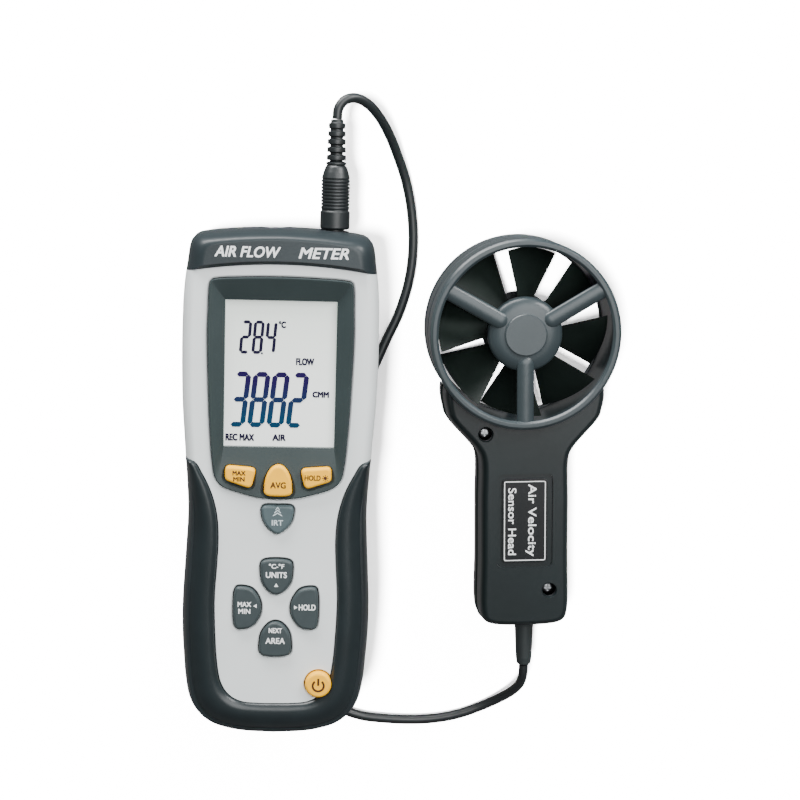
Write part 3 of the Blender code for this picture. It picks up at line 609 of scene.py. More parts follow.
def make_plug():
    """Barrel of the plug: a plain collar, a ribbed grip and a cone."""
    profile = [(0, 0), (3.6, 0), (3.6, 4.2), (5.2, 4.2), (5.8, 4.8), (5.8, 11.0), (5.3, 11.4), (5.3, 12.0)]
    for i in range(9):
        base = 12.2 + 1.28 * i
        profile += [(5.6, base), (5.6, base + 0.8), (5.15, base + 0.95), (5.15, base + 1.15)]
    profile += [(5.5, 24.0), (4.9, 26.2), (4.2, 28.2), (3.6, 29), (0, 29)]
    plug = along_y(lathe("plug", soften(profile, 0.3, steps=2), M["rubber"], segments=64),
                   SOCKET_X, PLUG_Y, PLUG_Z)
    return install(plug, "root", "black_rubber", "plug_body")


def make_boot():
    """Flexible boot behind the plug, with a deep groove after each rib."""
    profile = [(0, 0), (3.9, 0), (3.9, 1.0), (2.6, 1.4)]
    for i in range(5):
        base = 1.7 + 3.05 * i
        radius = 3.75 - 0.13 * i
        profile += [(2.5, base), (radius, base + 0.25), (radius, base + 2.0), (2.5, base + 2.3)]
    profile += [(2.4, 16.8), (2.4, 17.5), (0, 17.5)]
    boot = along_y(lathe("plug_sleeve", soften(profile, 0.3, steps=2), M["rubber"], segments=48),
                   SOCKET_X, BOOT_Y, PLUG_Z)
    return install(boot, "root", "black_rubber", "plug_boot")


def make_relief():
    profile = [(0, 0), (2.3, 0), (2.9, 0.5), (3.3, 3), (3.85, 17), (4.1, 18.6), (4.1, 24.4), (5.2, 24.4),
               (5.2, 26.4), (0, 26.4)]
    relief = along_y(lathe("strain_relief", soften(profile, 0.4, steps=3), M["relief"], segments=64),
                     RELIEF_X, RELIEF_Y, CORD_Z)
    return install(moved(relief, PROBE), "root", "black_rubber", "probe_strain_relief")


def make_cord():
    cable = make_cable()
    pieces = [make_plug(), make_boot(), make_relief()]


# ---------------------------------------------------------------- meter cases
def arch_zone(name, clearance, chamfer=0.0):
    """Everything above the arched line where the end cap meets the cases."""
    rings = []
    for z, back in ((-5, 0.0), (RAISED_Z - 1.2, 0.0), (RAISED_Z + 0.3, chamfer), (60, chamfer)):
        arch = [Vector((x, 88 - clearance + back - 3.2 * (x / 36) ** 2)) for x in range(-45, 46, 2)]
        rings.append(level([Vector((-45, 130)), Vector((45, 130))] + arch[::-1], z))
    return loft(name, rings)


def grip_zone(name):
    """The U-shaped space round the lower half that the rubber grip fills."""
    zone = block(name, (-60, -130, GRIP_LOW_Z), (60, GRIP_TOP_Y, 60))
    return cut(zone, prism("core", shrink(SKIN), -5, GRIP_CORE_Z), prism("panel", PANEL, -6, 61))


def flank(z):
    """How far the rear case is drawn in at a height."""
    return FLANK * (1 - z / SEAM_Z) ** 1.6


def foot_rings():
    """Lowest rings of the rear case and of the end cap, round the flat back."""
    return [level(shrink(16.0), 0), level(shrink(15.0), 0.2), level(shrink(flank(FOOT_Z) + 0.15), FOOT_Z)]


def make_rear_case():
    rings = foot_rings()
    for k in range(1, 15):
        z = FOOT_Z + (SEAM_Z - 1.5) * k / 14
        rings.append(level(shrink(flank(z)), z))
    rings.append(level(shrink(0.35), SEAM_Z))
    case = loft("rear_case_shell", rings, M["dark_case"])
    space = [level(shrink(d), z) for z, d in ((2.6, 16.4), (9, 10.5), (16, 6.2), (SEAM_Z + 1, WALL))]
    inside = loft("inside", space)
    bosses = [block("stand_floor", (-18.5, STAND_Y[0] - 5, -1), (18.5, STAND_Y[1] + 5, 7)),
              shifted(rod("boss", 6.8, -1, 10), 0, TRIPOD_Y)]
    bosses += [shifted(rod("boss", 3.9, -1, 14, 32), x, y) for x, y in CASE_SCREWS]
    cut(inside, *bosses)
    holes = [block("stand_recess", (-15.5, STAND_Y[0] - 0.5, -1), (15.5, STAND_Y[1] + 2.4, 4.0)),
             block("door_opening", (-DOOR_HALF, DOOR_Y[0], -1), (DOOR_HALF, DOOR_Y[1], 6)),
             shifted(lathe("tripod_hole", [(0, -1), (5.2, -1), (4.6, 0.4), (4.6, 8.4), (0, 8.4)]),
                     0, TRIPOD_Y)]
    for x, y in CASE_SCREWS:
        sink = [(0, -1), (3.7, -1), (2.9, 0.4), (2.9, 3.0), (1.5, 3.0), (1.5, 15), (0, 15)]
        holes.append(shifted(lathe("screw_hole", sink, segments=32), x, y))
    cut(case, inside, arch_zone("cap_line", GAP), *holes)
    notch = [(0, -1), (6.2, -1), (5.0, 0.4), (4.4, 2.6), (0, 2.6)]
    cut(case, grip_zone("grip_space"), shifted(lathe("finger_notch", notch), 0, STAND_Y[0]))
    cut(case, along_x(rod("pin_bore", PIN_BORE_R, 0, 35.2, 32), -17.6, STAND_Y[1], STAND_AXIS_Z))
    install(case, "root", "case_dark", "rear_case")


def case_top(inset):
    """Height of the light case's rounded edge at a distance in from its outline."""
    run = min(inset / 4.7, 1.0)
    return FACE_Z - 10.0 * (1 - math.sqrt(1 - (1 - run) ** 2))


def make_front_case():
    rings = [level(shrink(0.35), SEAM_Z + GAP), level(shrink(0), SEAM_Z + GAP + 0.4)]
    rings += [level(shrink(0), z) for z in (26, 30)]
    for a in quarter(12):
        rings.append(level(shrink(4.7 * (1 - math.cos(a))), FACE_Z - 10 + 10 * math.sin(a)))
    case = loft("front_case_shell", rings, M["light_case"])
    inside = loft("inside", [level(shrink(WALL), SEAM_Z - 1), level(shrink(WALL), 38.6)])
    cut(case, inside, arch_zone("cap_line", GAP))
    cut(case, grip_zone("grip_space"))
    bezel = evenly(smooth(mirrored(BEZEL_HALF), closed=True), 200, closed=True)
    pocket, mouth = offset(bezel, -GAP), offset(bezel, -GAP - 0.6)
    cut(case, loft("bezel_pocket", [level(pocket, POCKET_Z), level(pocket, 42.5), level(mouth, 43.1),
                                    level(mouth, 60)]))
    holes = [block("display_opening", (-WINDOW_X, WINDOW_Y[0], 30), (WINDOW_X, WINDOW_Y[1], 60))]
    holes += [key_hole(outline, FACE_Z) for outline, *rest in KEYS.values()]
    cut(case, *holes)
    install(case, "root", "case_light", "front_case")


def make_cap():
    """End cap: a flat face that rolls over at its sides and its end."""
    rings = foot_rings()
    for k in range(1, 13):
        z = FOOT_Z + (SEAM_Z - 1) * k / 12
        rings.append(level(shrink(flank(min(z, SEAM_Z))), z))
    rings += [level(shrink(0), z) for z in (24, 29)]
    rise = RAISED_Z - 33
    for a in quarter(14):
        side, end = 6.8 * (1 - math.cos(a)), 4.2 * (1 - math.cos(a))
        rings.append(level(shrink(side, end), 33 + rise * math.sin(a)))
    cap = loft("end_cap", rings, M["dark_case"])
    combine(cap, "INTERSECT", [arch_zone("cap_zone", 0, 1.4)])
    levels = [(SKIN, 14.6), (9, 8.6), (16, 3.6), (SEAM_Z, SKIN), (41.0, SKIN + 2)]
    holes = [loft("cap_space", [level(shrink(d), z) for z, d in levels])]
    for x, radius in ((SOCKET_X, 5.9), (-3, 6.3), (-16, 2.9)):
        bore = [(0, 0), (radius, 0), (radius, 10.2), (radius + 0.9, 11.6), (radius + 0.9, 20), (0, 20)]
        holes.append(along_y(lathe("bore", bore, segments=64), x, 90, PLUG_Z))
    cut(cap, *holes)
    install(cap, "root", "case_dark", "top_cap")


# ---------------------------------------------------------------- rubber grip
def stretches(path, heights, counts):
    """A path that runs down, as points evenly spaced between given heights."""
    points = []
    for high, low, count in zip(heights, heights[1:], counts):
        part = [p for p in path if low <= p.y <= high]
        points += evenly(part, count)[:-1]
    return points + [path[-1]]


def grip_section(outer, inner):
    """Closed cross-section of the grip between a point of its outline and one of its inner edge."""
    across = inner - outer
    width = across.length
    crown = min(RAISED_Z, case_top(width) + 1.7)
    core = min(0.6, (SKIN - GAP) / width)
    wall_top = min(31.0, crown - 4)
    shape = [(core, GRIP_LOW_Z + GAP), (0.0, GRIP_LOW_Z + GAP), (0.0, 20.0), (0.0, 26.0)]
    for a in quarter(12):
        shape.append((0.70 * (1 - math.cos(a)), wall_top + (crown - wall_top) * math.sin(a)))
    for a in quarter(8, 1):
        shape.append((0.74 + 0.26 * math.sin(a), crown - 2.4 * (1 - math.cos(a))))
    shape += [(1.0, crown - 3.0), (core, crown - 3.2)]
    return [Vector((*(outer + across * f), z)) for f, z in shape]


def make_grip():
    outer = smooth(METER_HALF, steps=24)
    inner = [p + Vector((GAP, -GAP * 0.3)) for p in smooth(PANEL_HALF[2:], steps=24)]
    inner[-1] = Vector((0, inner[-1].y))
    top = GRIP_TOP_Y - GAP - 0.2
    counts = (30, 30, 46)
    outside = stretches(outer, (top, -12, -61, -101.2), counts)
    inside = stretches(inner, (top, -12, -60, -87), counts)
    right = [grip_section(a, b) for a, b in zip(outside, inside)]
    left = [[Vector((-p.x, p.y, p.z)) for p in section] for section in right[:-1]]
    grip = loft("soft_grip", right + left[::-1], M["grip"], sharp=40)
    cut(grip, key_hole(circle(*POWER_KEY), RAISED_Z))
    install(grip, "root", "grip", "rubber_grip")


# ---------------------------------------------------------------- display
def between(outline, first, last, count):
    """Evenly spaced points of a closed outline from the one nearest a place to another, clockwise."""
    def nearest(place):
        return min(range(len(outline)), key=lambda i: (outline[i] - Vector(place)).length)
    i, j = nearest(first), nearest(last)
    part = outline[i:j + 1] if i <= j else outline[i:] + outline[:j + 1]
    return evenly(part, count + 1)[:-1]


def make_bezel():
    """Frame of the display: four slopes down to the window, which meet in creases."""
    outline = smooth(mirrored(BEZEL_HALF), closed=True, steps=24)
    corners = [(-27.0, 81.2), (27.0, 81.2), (23.6, 3.4), (-23.6, 3.4)]
    low, high = WINDOW_Y
    x = WINDOW_X
    inner = [Vector(p) for p in ((-x, high), (x, high), (x, low), (-x, low))]
    counts = (50, 70, 60, 70)
    rim = []
    sill = []
    for k in range(4):
        rim += between(outline, corners[k], corners[(k + 1) % 4], counts[k])
        for i in range(counts[k]):
            sill.append(inner[k].lerp(inner[(k + 1) % 4], i / counts[k]))
    bottom = POCKET_Z + GAP
    edge = offset(rim, 0.45)
    rings = [level(rim, bottom), level(rim, BEZEL_Z - 0.5), level(offset(rim, 0.15), BEZEL_Z - 0.15),
             level(edge, BEZEL_Z)]
    for k in range(1, 9):
        t = k / 8
        slope = [a.lerp(b, t) for a, b in zip(edge, sill)]
        rings.append(level(slope, BEZEL_Z + (WINDOW_Z - BEZEL_Z) * t))
    rings.append(level(sill, bottom))
    bezel = loft("display_frame", rings, M["bezel"], closed=True, sharp=14)
    under = ("key_max_min", "key_average", "key_hold")
    holes = [key_hole(KEYS[name][0], BEZEL_Z - 0.6, 0.9) for name in under]
    combine(bezel, "DIFFERENCE", holes, sharp=14)
    install(bezel, "root", "bezel", "display_bezel")


SEGMENTS = {"0": "abcdef", "1": "bc", "2": "abged", "3": "abgcd", "4": "fgbc", "5": "afgcd", "6": "afgedc",
            "7": "abc", "8": "abcdefg", "9": "abfgcd"}


def digit(figure, x, y, width, height, stroke, lean):
    """Seven-segment figure made of bars with pointed ends; x and y are its lower left corner."""
    half = height / 2
    w, s = width - stroke, stroke / 2
    places = {"a": ((0, height - stroke), (w, height - stroke)), "d": ((0, 0), (w, 0)),
              "g": ((0, half - s), (w, half - s)), "e": ((0, 0), (0, half - s)), "c": ((w, 0), (w, half - s)),
              "f": ((0, half - s), (0, height - stroke)), "b": ((w, half - s), (w, height - stroke))}
    bars = []
    for key in SEGMENTS[figure]:
        start, end = (Vector(p) + Vector((s, s)) for p in places[key])
        way = (end - start).normalized()
        side = Vector((-way.y, way.x)) * s * 0.86
        start, end = start + way * s * 0.35, end - way * s * 0.35
        tip = way * s * 0.86
        shape = [start - tip * 0.3, start + tip * 0.6 + side, end - tip * 0.6 + side, end + tip * 0.3,
                 end - tip * 0.6 - side, start + tip * 0.6 - side]
        leant = [Vector((x + p.x + p.y * lean, y + p.y)) for p in shape]
        bars.append(prism("bar", leant, LCD_Z, LCD_Z + DIGIT_RISE))
    return bars


def lettering(text, x0, x1, y0, y1, z, bold=0.2, slant=0.0, turn=0.0, depth=0.25):
    """Letters that fill a box, from z up by their depth, struck four times to make them bold by an amount."""
    curve = bpy.data.curves.new("letters", "FONT")
    curve.body = text
    curve.extrude = 0.5
    curve.shear = slant
    curve.resolution_u = 4
    guide = placed("letters", curve)
    graph = bpy.context.evaluated_depsgraph_get()
    mesh = bpy.data.meshes.new_from_object(guide.evaluated_get(graph))
    bpy.data.objects.remove(guide)
    bm = bmesh.new()
    bm.from_mesh(mesh)
    bpy.data.meshes.remove(mesh)
    bmesh.ops.remove_doubles(bm, verts=bm.verts, dist=0.0001)
    bmesh.ops.rotate(bm, verts=bm.verts, matrix=Matrix.Rotation(math.radians(turn), 3, "Z"))
    low = Vector([min(v.co[k] for v in bm.verts) for k in range(3)])
    size = Vector([max(v.co[k] for v in bm.verts) for k in range(3)]) - low
    wide, high = x1 - x0 - bold, y1 - y0 - bold
    for v in bm.verts:
        v.co = (x0 + wide * (v.co.x - low.x) / size.x, y0 + high * (v.co.y - low.y) / size.y,
                z + depth * (v.co.z - low.z) / size.z)
    first = list(bm.verts) + list(bm.edges) + list(bm.faces)
    for k, shift in enumerate(((bold, 0), (0, bold), (bold, bold)) if bold else ()):
        copy = bmesh.ops.duplicate(bm, geom=first)
        struck = [item for item in copy["geom"] if isinstance(item, bmesh.types.BMVert)]
        bmesh.ops.translate(bm, verts=struck, vec=(*shift, 0.006 * (k + 1)))
    return make_object("letters", bm)


def make_display():
    low, high = WINDOW_Y
    x = WINDOW_X - 0.2
    # The LCD glass carries the painted glow of the LCD look.
    glass = block("lcd_glass_painted_glow", (-x, low + 0.2, 38.3), (x, high - 0.2, LCD_Z), M["lcd"])
    install(glass, "root", "display")
    big = []
    for i, figure in enumerate("3882"):
        big += digit(figure, -20.2 + 7.45 * i, 24.2, 7.0, 22.0, 2.3, 0.11)
    install(joined("lcd_flow", big, M["digit"]), "root", "display")
    small = []
    for figure, place in (("2", -16.2), ("8", -11.4), ("4", -6.5)):
        small += digit(figure, place, 52.9, 4.3, 13.1, 1.4, 0.08)
    small.append(block("point", (-7.5, 52.9, LCD_Z), (-6.8, 53.6, LCD_Z + DIGIT_RISE)))
    words = (("°C", -0.9, 1.9, 63.2, 65.9), ("FLOW", 6.0, 13.0, 48.9, 51.7), ("CMM", 12.6, 19.0, 36.4, 38.8),
             ("REC MAX", -20.7, -9.6, 18.9, 21.7), ("AIR", -2.6, 2.6, 19.1, 21.7))
    for text, x0, x1, y0, y1 in words:
        small.append(lettering(text, x0, x1, y0, y1, LCD_Z, 0.28, depth=DIGIT_RISE))
    install(joined("lcd_readings", small, M["small_digit"]), "root", "display")


# ---------------------------------------------------------------- keys
def key_shapes():
    """Outline, top height, material and slot of each key."""
    wedge = [(-20.6, 10.0), (-8.4, 9.0), (-10.4, 0.8), (-20.6, 4.2)]
    arch = [(5.4 * math.cos(math.pi * k / 12), 1.1 + 9.3 * math.sin(math.pi * k / 12)) for k in range(13)]
    arch += [(-5.4, -0.6), (-4.3, -1.6), (0, -2.0), (4.3, -1.6), (5.4, -0.6)]
    shield = [(-6.2, -6.9), (-5.2, -5.9), (0, -5.7), (5.2, -5.9), (6.2, -6.9), (6.2, -9.4), (5.4, -12.4),
              (3.2, -15.4), (0, -17.2), (-3.2, -15.4), (-5.4, -12.4), (-6.2, -9.4)]
    pad = [(-6.1, 5.9), (-5, 7), (0, 7.6), (5, 7), (6.1, 5.9), (6.2, 1.5), (5.4, -2.4), (2.6, -5.9),
           (0, -6.8), (-2.6, -5.9), (-5.4, -2.4), (-6.2, 1.5)]
    wide = [(x * 1.38, y * 0.76) for x, y in pad]
    yellow = (RAISED_KEY_TOP, "yellow", "keys_yellow")
    grey = (KEY_TOP, "grey", "keys_grey")
    shapes = {
        "key_max_min": (soften(wedge, 2.0, True), *yellow),
        "key_average": (smooth(arch, True, 3), *yellow),
        "key_hold": ([Vector((-p.x, p.y)) for p in soften(wedge, 2.0, True)], *yellow),
        "key_surface_temp": (smooth(shield, True, 6), KEY_TOP, "blue", "keys_blue"),
        "key_units": (smooth([(x, y - 34.8) for x, y in pad], True, 6), *grey),
        "key_area_next": (smooth([(x, -y - 59.3) for x, y in pad], True, 6), *grey),
        "key_left": (smooth([(-y - 10.9, x - 47.1) for x, y in wide], True, 6), *grey),
        "key_right": (smooth([(y + 10.9, x - 47.1) for x, y in wide], True, 6), *grey),
        "key_power": (circle(*POWER_KEY), RAISED_KEY_TOP - 0.2, "yellow", "keys_yellow"),
    }
    return {name: (evenly(shape, 80, closed=True), *rest) for name, (shape, *rest) in shapes.items()}


KEYS = key_shapes()


def key_hole(outline, face_z, flare=0.5):
    """Cutter for a key's hole, with a mouth that flares at the face it opens in."""
    hole, mouth = offset(outline, -KEY_GAP), offset(outline, -KEY_GAP - flare)
    return loft("key_hole", [level(hole, 30), level(hole, face_z - 0.7), level(mouth, face_z + 0.1),
                             level(mouth, 60)])


def mark(name, outline, z):
    """Printed mark on a face at a height."""
    return prism(name, outline, z - INK_SUNK, z + INK_PROUD)


def triangle(x, y, size, turn, z):
    points = [Vector((x + size * math.cos(a), y + size * math.sin(a)))
              for a in [math.radians(turn + 120 * k) for k in range(3)]]
    return mark("triangle", points, z)


def power_icon(x, y, z):
    """Ring with a gap at its top, and a bar in the gap."""
    angles = [math.radians(128 + 284 * k / 24) for k in range(25)]
    rim = [Vector((x + 2.6 * math.cos(a), y + 2.6 * math.sin(a))) for a in angles]
    rim += [Vector((x + 1.8 * math.cos(a), y + 1.8 * math.sin(a))) for a in reversed(angles)]
    return [mark("icon_ring", rim, z), mark("icon_bar", rectangle(x - 0.4, x + 0.4, y + 0.1, y + 3.0), z)]


def sun_icon(x, y, z):
    rays = [mark("ray", circle(x, y, 0.7, 20), z)]
    for k in range(8):
        way = Vector((math.cos(math.pi * k / 4), math.sin(math.pi * k / 4)))
        side = Vector((-way.y, way.x)) * 0.14
        centre = Vector((x, y))
        ray = [centre + way * 0.85 + side, centre + way * 1.3 + side, centre + way * 1.3 - side,
               centre + way * 0.85 - side]
        rays.append(mark("ray", ray, z))
    return rays


def tree_icon(x, y, z):
    """Three rising chevrons."""
    marks = []
    for k in range(3):
        top, half = y + 1.5 - 1.15 * k, 0.8 + 0.5 * k
        shape = [(x, top + 0.6), (x + half, top - 0.5), (x + half, top - 0.95), (x, top + 0.1),
                 (x - half, top - 0.95), (x - half, top - 0.5)]
        marks.append(mark("chevron", [Vector(p) for p in shape], z))
    return marks


def legends():
    """Words and marks on each key."""
    def words(text, x0, x1, y0, y1, z):
        return lettering(text, x0, x1, y0, y1, z - INK_SUNK, 0.14)
    high, low, power = RAISED_KEY_TOP, KEY_TOP, RAISED_KEY_TOP - 0.2
    return {
        "key_max_min": ("brown_ink", [words("MAX", -17.6, -12.6, 6.3, 8.1, high),
                                      words("MIN", -17.3, -12.9, 3.9, 5.7, high)]),
        "key_average": ("brown_ink", [words("AVG", -3.0, 3.0, 1.4, 3.9, high)]),
        "key_hold": ("brown_ink", [words("HOLD", 10.2, 16.4, 4.7, 6.8, high)] + sun_icon(18.2, 5.7, high)),
        "key_surface_temp": ("pale_ink", [*tree_icon(0, -8.2, low),
                                          words("IRT", -2.2, 2.2, -13.6, -11.4, low)]),
        "key_units": ("white_ink", [words("°C-°F", -3.0, 3.0, -30.9, -28.9, low),
                                    words("UNITS", -4.1, 4.1, -34.6, -32.2, low),
                                    triangle(0, -37.7, 0.95, 90, low)]),
        "key_area_next": ("white_ink", [words("NEXT", -2.6, 2.6, -56.9, -54.9, low),
                                        words("AREA", -3.8, 3.8, -61.3, -58.9, low)]),
        "key_left": ("white_ink", [words("MAX", -14.9, -9.6, -46.4, -44.4, low),
                                   words("MIN", -14.6, -9.9, -49.2, -47.2, low),
                                   triangle(-7.9, -46.0, 0.9, 180, low)]),
        "key_right": ("white_ink", [words("HOLD", 9.0, 15.6, -47.6, -45.2, low),
                                    triangle(7.6, -46.4, 0.9, 0, low)]),
        "key_power": ("brown_ink", power_icon(POWER_KEY[0], POWER_KEY[1] - 0.2, power)),
    }


def make_keys():
    marks = legends()
    for name, (outline, top, look, slot) in KEYS.items():
        wide = offset(outline, -0.8)
        rings = [level(wide, KEY_FLANGE[0]), level(wide, KEY_FLANGE[1]), level(outline, KEY_FLANGE[1]),
                 level(outline, top - 1.3)]
        for a in quarter(7, 1):
            rings.append(level(offset(outline, 1.15 * (1 - math.cos(a))), top - 1.3 + 1.3 * math.sin(a)))
        key = loft(name + "_cap", rings, M[look], sharp=40)
        install(key, name, slot, name)
        ink, pieces = marks[name]
        install(joined(name + "_legend", pieces, M[ink]), name, slot)


def make_cap_text():
    z = RAISED_Z - 0.2
    words = [lettering("AIR FLOW", -25.6, -0.6, 90.4, 94.6, z, 0.24, 0.25),
             lettering("METER", 6.2, 25.2, 90.4, 94.6, z, 0.24, 0.25)]
    install(joined("cap_lettering", words, M["white_ink"]), "root", "case_dark")


# ---------------------------------------------------------------- back of the meter
def make_screw(name, x, y, head_z, tip_z, head_r, shank_r, node, body="root", probe=False):
    """Pan-head screw with a cross recess, its head towards head_z."""
    length = abs(tip_z - head_z)
    profile = [(0, 0), (head_r * 0.55, 0.06), (head_r * 0.9, 0.45), (head_r, 0.9), (head_r, 1.6),
               (shank_r, 1.6)]
    thread = int((length - 2.4) / 0.8)
    for i in range(thread):
        profile += [(shank_r, 1.8 + 0.8 * i), (shank_r * 0.82, 2.2 + 0.8 * i)]
    profile += [(shank_r * 0.8, length - 0.5), (0, length)]
    part = lathe(name, profile, M["steel"], segments=40, sharp=25)
    arm, thin = head_r * 0.62, head_r * 0.16
    cut(part, *(block("slot", (-a, -b, -1), (a, b, 0.8)) for a, b in ((arm, thin), (thin, arm))))
    if tip_z < head_z:
        moved(part, Matrix.Rotation(math.pi, 4, "X"))
    shifted(part, x, y, head_z)
    if probe:
        moved(part, PROBE)
    install(part, body, "steel", node)


def back_plate(name, outline, top):
    """Flat piece in the meter's back, its rounded edge downwards."""
    plate = slab(name, outline, -top, -0.4, 0.5, M["dark_case"])
    moved(plate, Matrix.Scale(-1, 4, (0, 0, 1)))
    plate.data.flip_normals()
    return plate


def make_battery_door():
    x = DOOR_HALF - 0.4
    low, high = DOOR_Y
    outline = soften(rectangle(-x, x, low + 0.4, high - 0.4), 1.4, True)
    door = back_plate("door_plate", outline, 2.4)
    sink = [(0, -1), (3.1, -1), (2.7, 0.7), (2.7, 1.7), (1.4, 1.7), (1.4, 5), (0, 5)]
    arrow = [Vector(p) for p in ((-2.6, 50), (0, 54), (2.6, 50), (1.2, 50), (1.2, 45), (-1.2, 45),
                                 (-1.2, 50))]
    grooves = [block("groove", (-9, 31 + 2.2 * k, -1), (9, 32.1 + 2.2 * k, 0.9)) for k in range(5)]
    cut(door, shifted(lathe("door_sink", sink, segments=40), 0, low + 5), prism("arrow", arrow, -1, 0.8),
        *grooves)
    install(door, "battery_door", "case_dark", "battery_door")
    make_screw("door_screw", 0, low + 5, 0.5, 2.35, 2.3, 1.1, "battery_door_screw", "battery_door")


def make_stand():
    """Tilt stand: a ribbed plate with a grooved edge, on a barrel round its pin."""
    low, high = STAND_Y
    half = 15.1
    outline = soften([(-half, high), (half, high), (half, low + 3), (half - 3, low), (3 - half, low),
                      (-half, low + 3)], 2.0, True)
    plate = back_plate("stand_plate", outline, 2.7)
    barrel = lathe("barrel", soften([(0, 0), (1.6, 0), (1.6, 2 * half), (0, 2 * half)], 0.3), segments=48)
    unite(plate, along_x(barrel, -half, high, STAND_AXIS_Z))
    pockets = []
    for x0, x1 in ((-12.4, -4.9), (-3.7, 3.7), (4.9, 12.4)):
        shape = soften(rectangle(x0, x1, low + 12, high - 6), 1.6, True)
        pockets.append(prism("pocket", shape, -1, 1.1))
    for k in range(3):
        pockets.append(block("foot_groove", (-10, low + 2.4 + 1.8 * k, -1), (10, low + 3.3 + 1.8 * k, 0.8)))
    cut(plate, *pockets, along_x(rod("bore", PIN_BORE_R, -2, 40, 32), -18, high, STAND_AXIS_Z))
    install(plate, "tilt_stand", "case_dark", "tilt_stand")


def make_back():
    make_stand()
    make_battery_door()
    for i, (x, y) in enumerate(CASE_SCREWS):
        make_screw("back_screw_%d" % (i + 1), x, y, 0.5, 12, 2.4, 1.1, "case_screw_%d" % (i + 1))
    thread = [(4.2, 8), (4.2, 0.4), (3.6, 0.4), (2.9, 0.9)]
    for i in range(8):
        thread += [(2.9, 1.0 + 0.85 * i), (3.2, 1.4 + 0.85 * i)]
    thread += [(2.9, 7.9), (2.9, 8)]
    insert = shifted(lathe("tripod_bush", thread, M["brass"], True, 48, 25), 0, TRIPOD_Y)
    install(insert, "root", "brass", "tripod_insert")


# ---------------------------------------------------------------- vane probe
def make_spoke(name, radius, start, end, z):
    """Flattened round bar from a rounded end on the hub out to the rim."""
    rings = []
    stations = [(start + radius * (1 - math.cos(a)), math.sin(a)) for a in quarter(8, 1)]
    stations += [(start + radius + (end - start - radius) * k / 6, 1.0) for k in range(1, 7)]
    for x, share in stations:
        ring = []
        for k in range(32):
            a = 2 * math.pi * k / 32
            ring.append(Vector((x, radius * share * math.cos(a), z + 1.7 * share * math.sin(a))))
        rings.append(ring)
    return loft(name, rings)


def make_guard(name, node, up):
    """Guard with a rim, three round spokes and a domed hub that carries the bearing."""
    rim = [(RING_BORE, -2.5), (RING_BORE, -0.9), (RING_BORE + 0.9, 0), (RING_R - 1.0, 0), (RING_R, -1.0),
           (RING_R, -2.5)]
    guard = lathe(name, soften(rim, 0.5, True, 4), M["guard"], True, 160)
    hub = [(0, -0.55), (8.0, -0.55), (8.25, -0.8), (8.25, -1.15), (8.7, -1.3)]
    hub += [(8.7 + 6.2 * math.sin(a), -1.3 - 3.2 * (1 - math.cos(a))) for a in quarter(8, 1)]
    hub += [(14.9, -5.6), (3.2, -5.6), (3.2, -2.6), (0, -2.6)]
    pieces = [lathe("hub", hub, None, False, 128)]
    for i in range(3):
        spoke = make_spoke("spoke", 3.4, 8.35, RING_BORE + 0.4, -2.3)
        pieces.append(moved(spoke, Matrix.Rotation(math.radians(30 + 120 * i), 4, "Z")))
    unite(guard, *pieces)
    if up:
        shifted(guard, 0, 0, RING_Z)
    else:
        moved(guard, Matrix.Rotation(math.pi, 4, "Y"))
    install(moved(guard, PROBE), "root", "probe_shell", node)


def make_ring():
    bore = RING_BORE + 0.8
    wall = RING_R - 0.35
    profile = [(wall, 29.2), (wall, 17.0), (wall - 0.3, 16.6), (wall - 0.3, 15.4), (wall, 15.0), (wall, 2.8),
               (bore, 2.8), (bore, 29.2)]
    ring = lathe("ring_barrel", profile, M["guard"], True, 160)
    install(moved(ring, PROBE), "root", "probe_shell", "vane_ring")


def make_blade():
    """One pitched blade with an even slot beside it and rounded edges."""
    bm = bmesh.new()
    rows = []
    steps = 14
    for j in range(11):
        r = 9.5 + (BLADE_TIP - 9.5) * j / 10
        half_angle = math.pi / BLADES - math.asin(SLOT_HALF_WIDTH / r)
        rise = r * math.sin(half_angle) * math.tan(BLADE_PITCH)
        rings = []
        for side in (1, -1):
            for k in range(steps + 1):
                u = side * (2 * k / steps - 1)
                thick = 0.5 * side * (1 - 0.75 * abs(u) ** 6)
                a = u * half_angle
                rings.append(bm.verts.new((r * math.cos(a), r * math.sin(a), u * rise + thick)))
        rows.append(rings)
    for a, b in zip(rows, rows[1:]):
        for k in range(len(a)):
            bm.faces.new((a[k - 1], a[k], b[k], b[k - 1]))
    bm.faces.new(rows[0])
    bm.faces.new(rows[-1])
    return make_object("blade", bm)


def make_impeller():
    hub = [(10.2, 22.5), (11.6, 22.0), (12.2, 20.5), (12.2, 11), (11.6, 9.5), (10.2, 9), (1.3, 9),
           (1.3, 22.5)]
    impeller = lathe("vane_wheel", soften(hub, 0.4, True, 3), M["vane"], True, 96)
    for i in range(BLADES):
        turn = math.radians(BLADE_START + 360 / BLADES * i)
        blade = shifted(make_blade(), 0, 0, ROTOR_Z)
        unite(impeller, moved(blade, Matrix.Rotation(turn, 4, "Z")))
    install(moved(impeller, PROBE), "rotor", "vane", "impeller")


def handle_rings(levels):
    return [level(smooth(offset(HANDLE, d), True, 10), z) for z, d in levels]


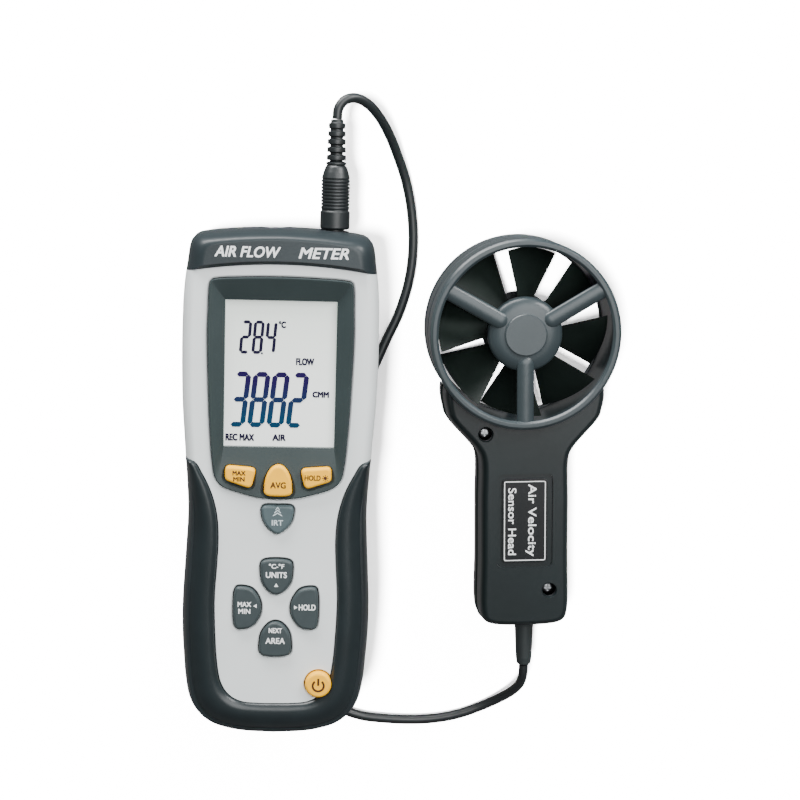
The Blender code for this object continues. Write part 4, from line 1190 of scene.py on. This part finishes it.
def make_handle():
    levels = [(0, 3.4), (0.25, 2.5), (1.0, 1.5), (2.2, 0.7), (3.8, 0.2), (6, 0), (12.8, 0),
              (PROBE_SEAM_Z, 0.5)]
    rear = loft("handle_back", handle_rings(levels), M["probe"])
    levels = [(PROBE_SEAM_Z + GAP, 0.9), (14.5, 0.5), (18, 0.6), (21.2, 0.9)]
    for a in quarter(8, 1):
        levels.append((21.2 + 4.8 * math.sin(a), 0.9 + 2.7 * (1 - math.cos(a))))
    front = loft("handle_face", handle_rings(levels), M["probe"])

    def ring_space():
        return rod("ring_space", RING_R + GAP, -5, 40, 160)

    def relief_hole():
        return along_y(rod("relief_hole", 4.4, 0, 20, 48), RELIEF_X, -128, CORD_Z)

    cut(rear, loft("inside", handle_rings([(3.0, 5), (5.5, 2.6), (14.5, 2.6)])), ring_space())
    cut(rear, relief_hole())
    cut(front, loft("inside", handle_rings([(13, 2.6), (21, 3.4), (23.4, 5.4)])), ring_space())
    recess = soften(rectangle(LABEL_X - 11.3, LABEL_X + 11.3, -95.5, -57.0), 2.5, True)
    holes = [relief_hole(),
             loft("label_recess", [level(recess, HANDLE_Z - 0.9), level(offset(recess, -0.5), 40)])]
    for x, y in PROBE_SCREWS:
        sink = [(0, 19.8), (2.7, 19.8), (2.7, 25.3), (3.2, 26.1), (3.2, 40), (0, 40)]
        holes.append(shifted(lathe("sink", sink, segments=48), x, y))
    cut(front, *holes)
    install(moved(rear, PROBE), "root", "probe_shell", "probe_rear_shell")
    install(moved(front, PROBE), "root", "probe_shell", "probe_front_shell")


def make_label():
    z = HANDLE_Z - 0.15
    outline = soften(rectangle(LABEL_X - 9.2, LABEL_X + 9.2, -93.5, -59.1), 1.6, True)
    plate = slab("label_face", outline, HANDLE_Z - 0.6, z, 0.12, M["label"])
    install(moved(plate, PROBE), "root", "label", "label_plate")
    border = offset(outline, 0.75)
    inner = offset(border, 0.35)
    frame_line = loft("border", [level(border, z - 0.1), level(border, z + 0.05), level(inner, z + 0.05),
                                 level(inner, z - 0.1)], closed=True)
    words = [frame_line, lettering("Air Velocity", 0.9, 5.3, -91.0, -61.1, z - 0.1, 0.1, 0, -90, 0.15),
             lettering("Sensor Head", -6.2, -2.9, -90.3, -62.6, z - 0.1, 0.1, 0, -90, 0.15)]
    install(moved(joined("label_print", words, M["white_ink"]), PROBE), "root", "label")


def make_probe():
    make_guard("guard_front", "front_guard", True)
    make_guard("guard_rear", "rear_guard", False)
    make_ring()
    make_impeller()
    make_handle()
    make_label()
    for i, (x, y) in enumerate(PROBE_SCREWS):
        make_screw("handle_screw_%d" % (i + 1), x, y, 21.8, 8.2, 2.3, 1.1, "probe_screw_%d" % (i + 1),
                   probe=True)


# ---------------------------------------------------------------- CAD nodes that stay
KEPT = {
    # lcd_panel takes the LCD look, with its painted glow.
    "display_window": "window", "lcd_panel": "lcd", "main_board": "board", "keypad_mat": "rubber",
    "buzzer": "rubber", "battery": "battery", "battery_snap": "rubber", "probe_socket": "socket",
    "infrared_lens": "lens", "laser_module": "brass", "stand_pin": "steel", "bearing_front": "steel",
    "bearing_rear": "steel", "impeller_shaft": "steel", "pickup_board": "board", "pickup_sensor": "rubber",
}


def finish_kept_nodes():
    for node, look in KEPT.items():
        mesh = NODES[node].data
        mesh.materials.clear()
        mesh.materials.append(M[look])


def main():
    make_camera()
    make_stage()
    make_cord()
    make_rear_case()
    make_front_case()
    make_cap()
    make_grip()
    make_bezel()
    make_display()
    make_keys()
    make_cap_text()
    make_back()
    make_probe()
    finish_kept_nodes()


main()
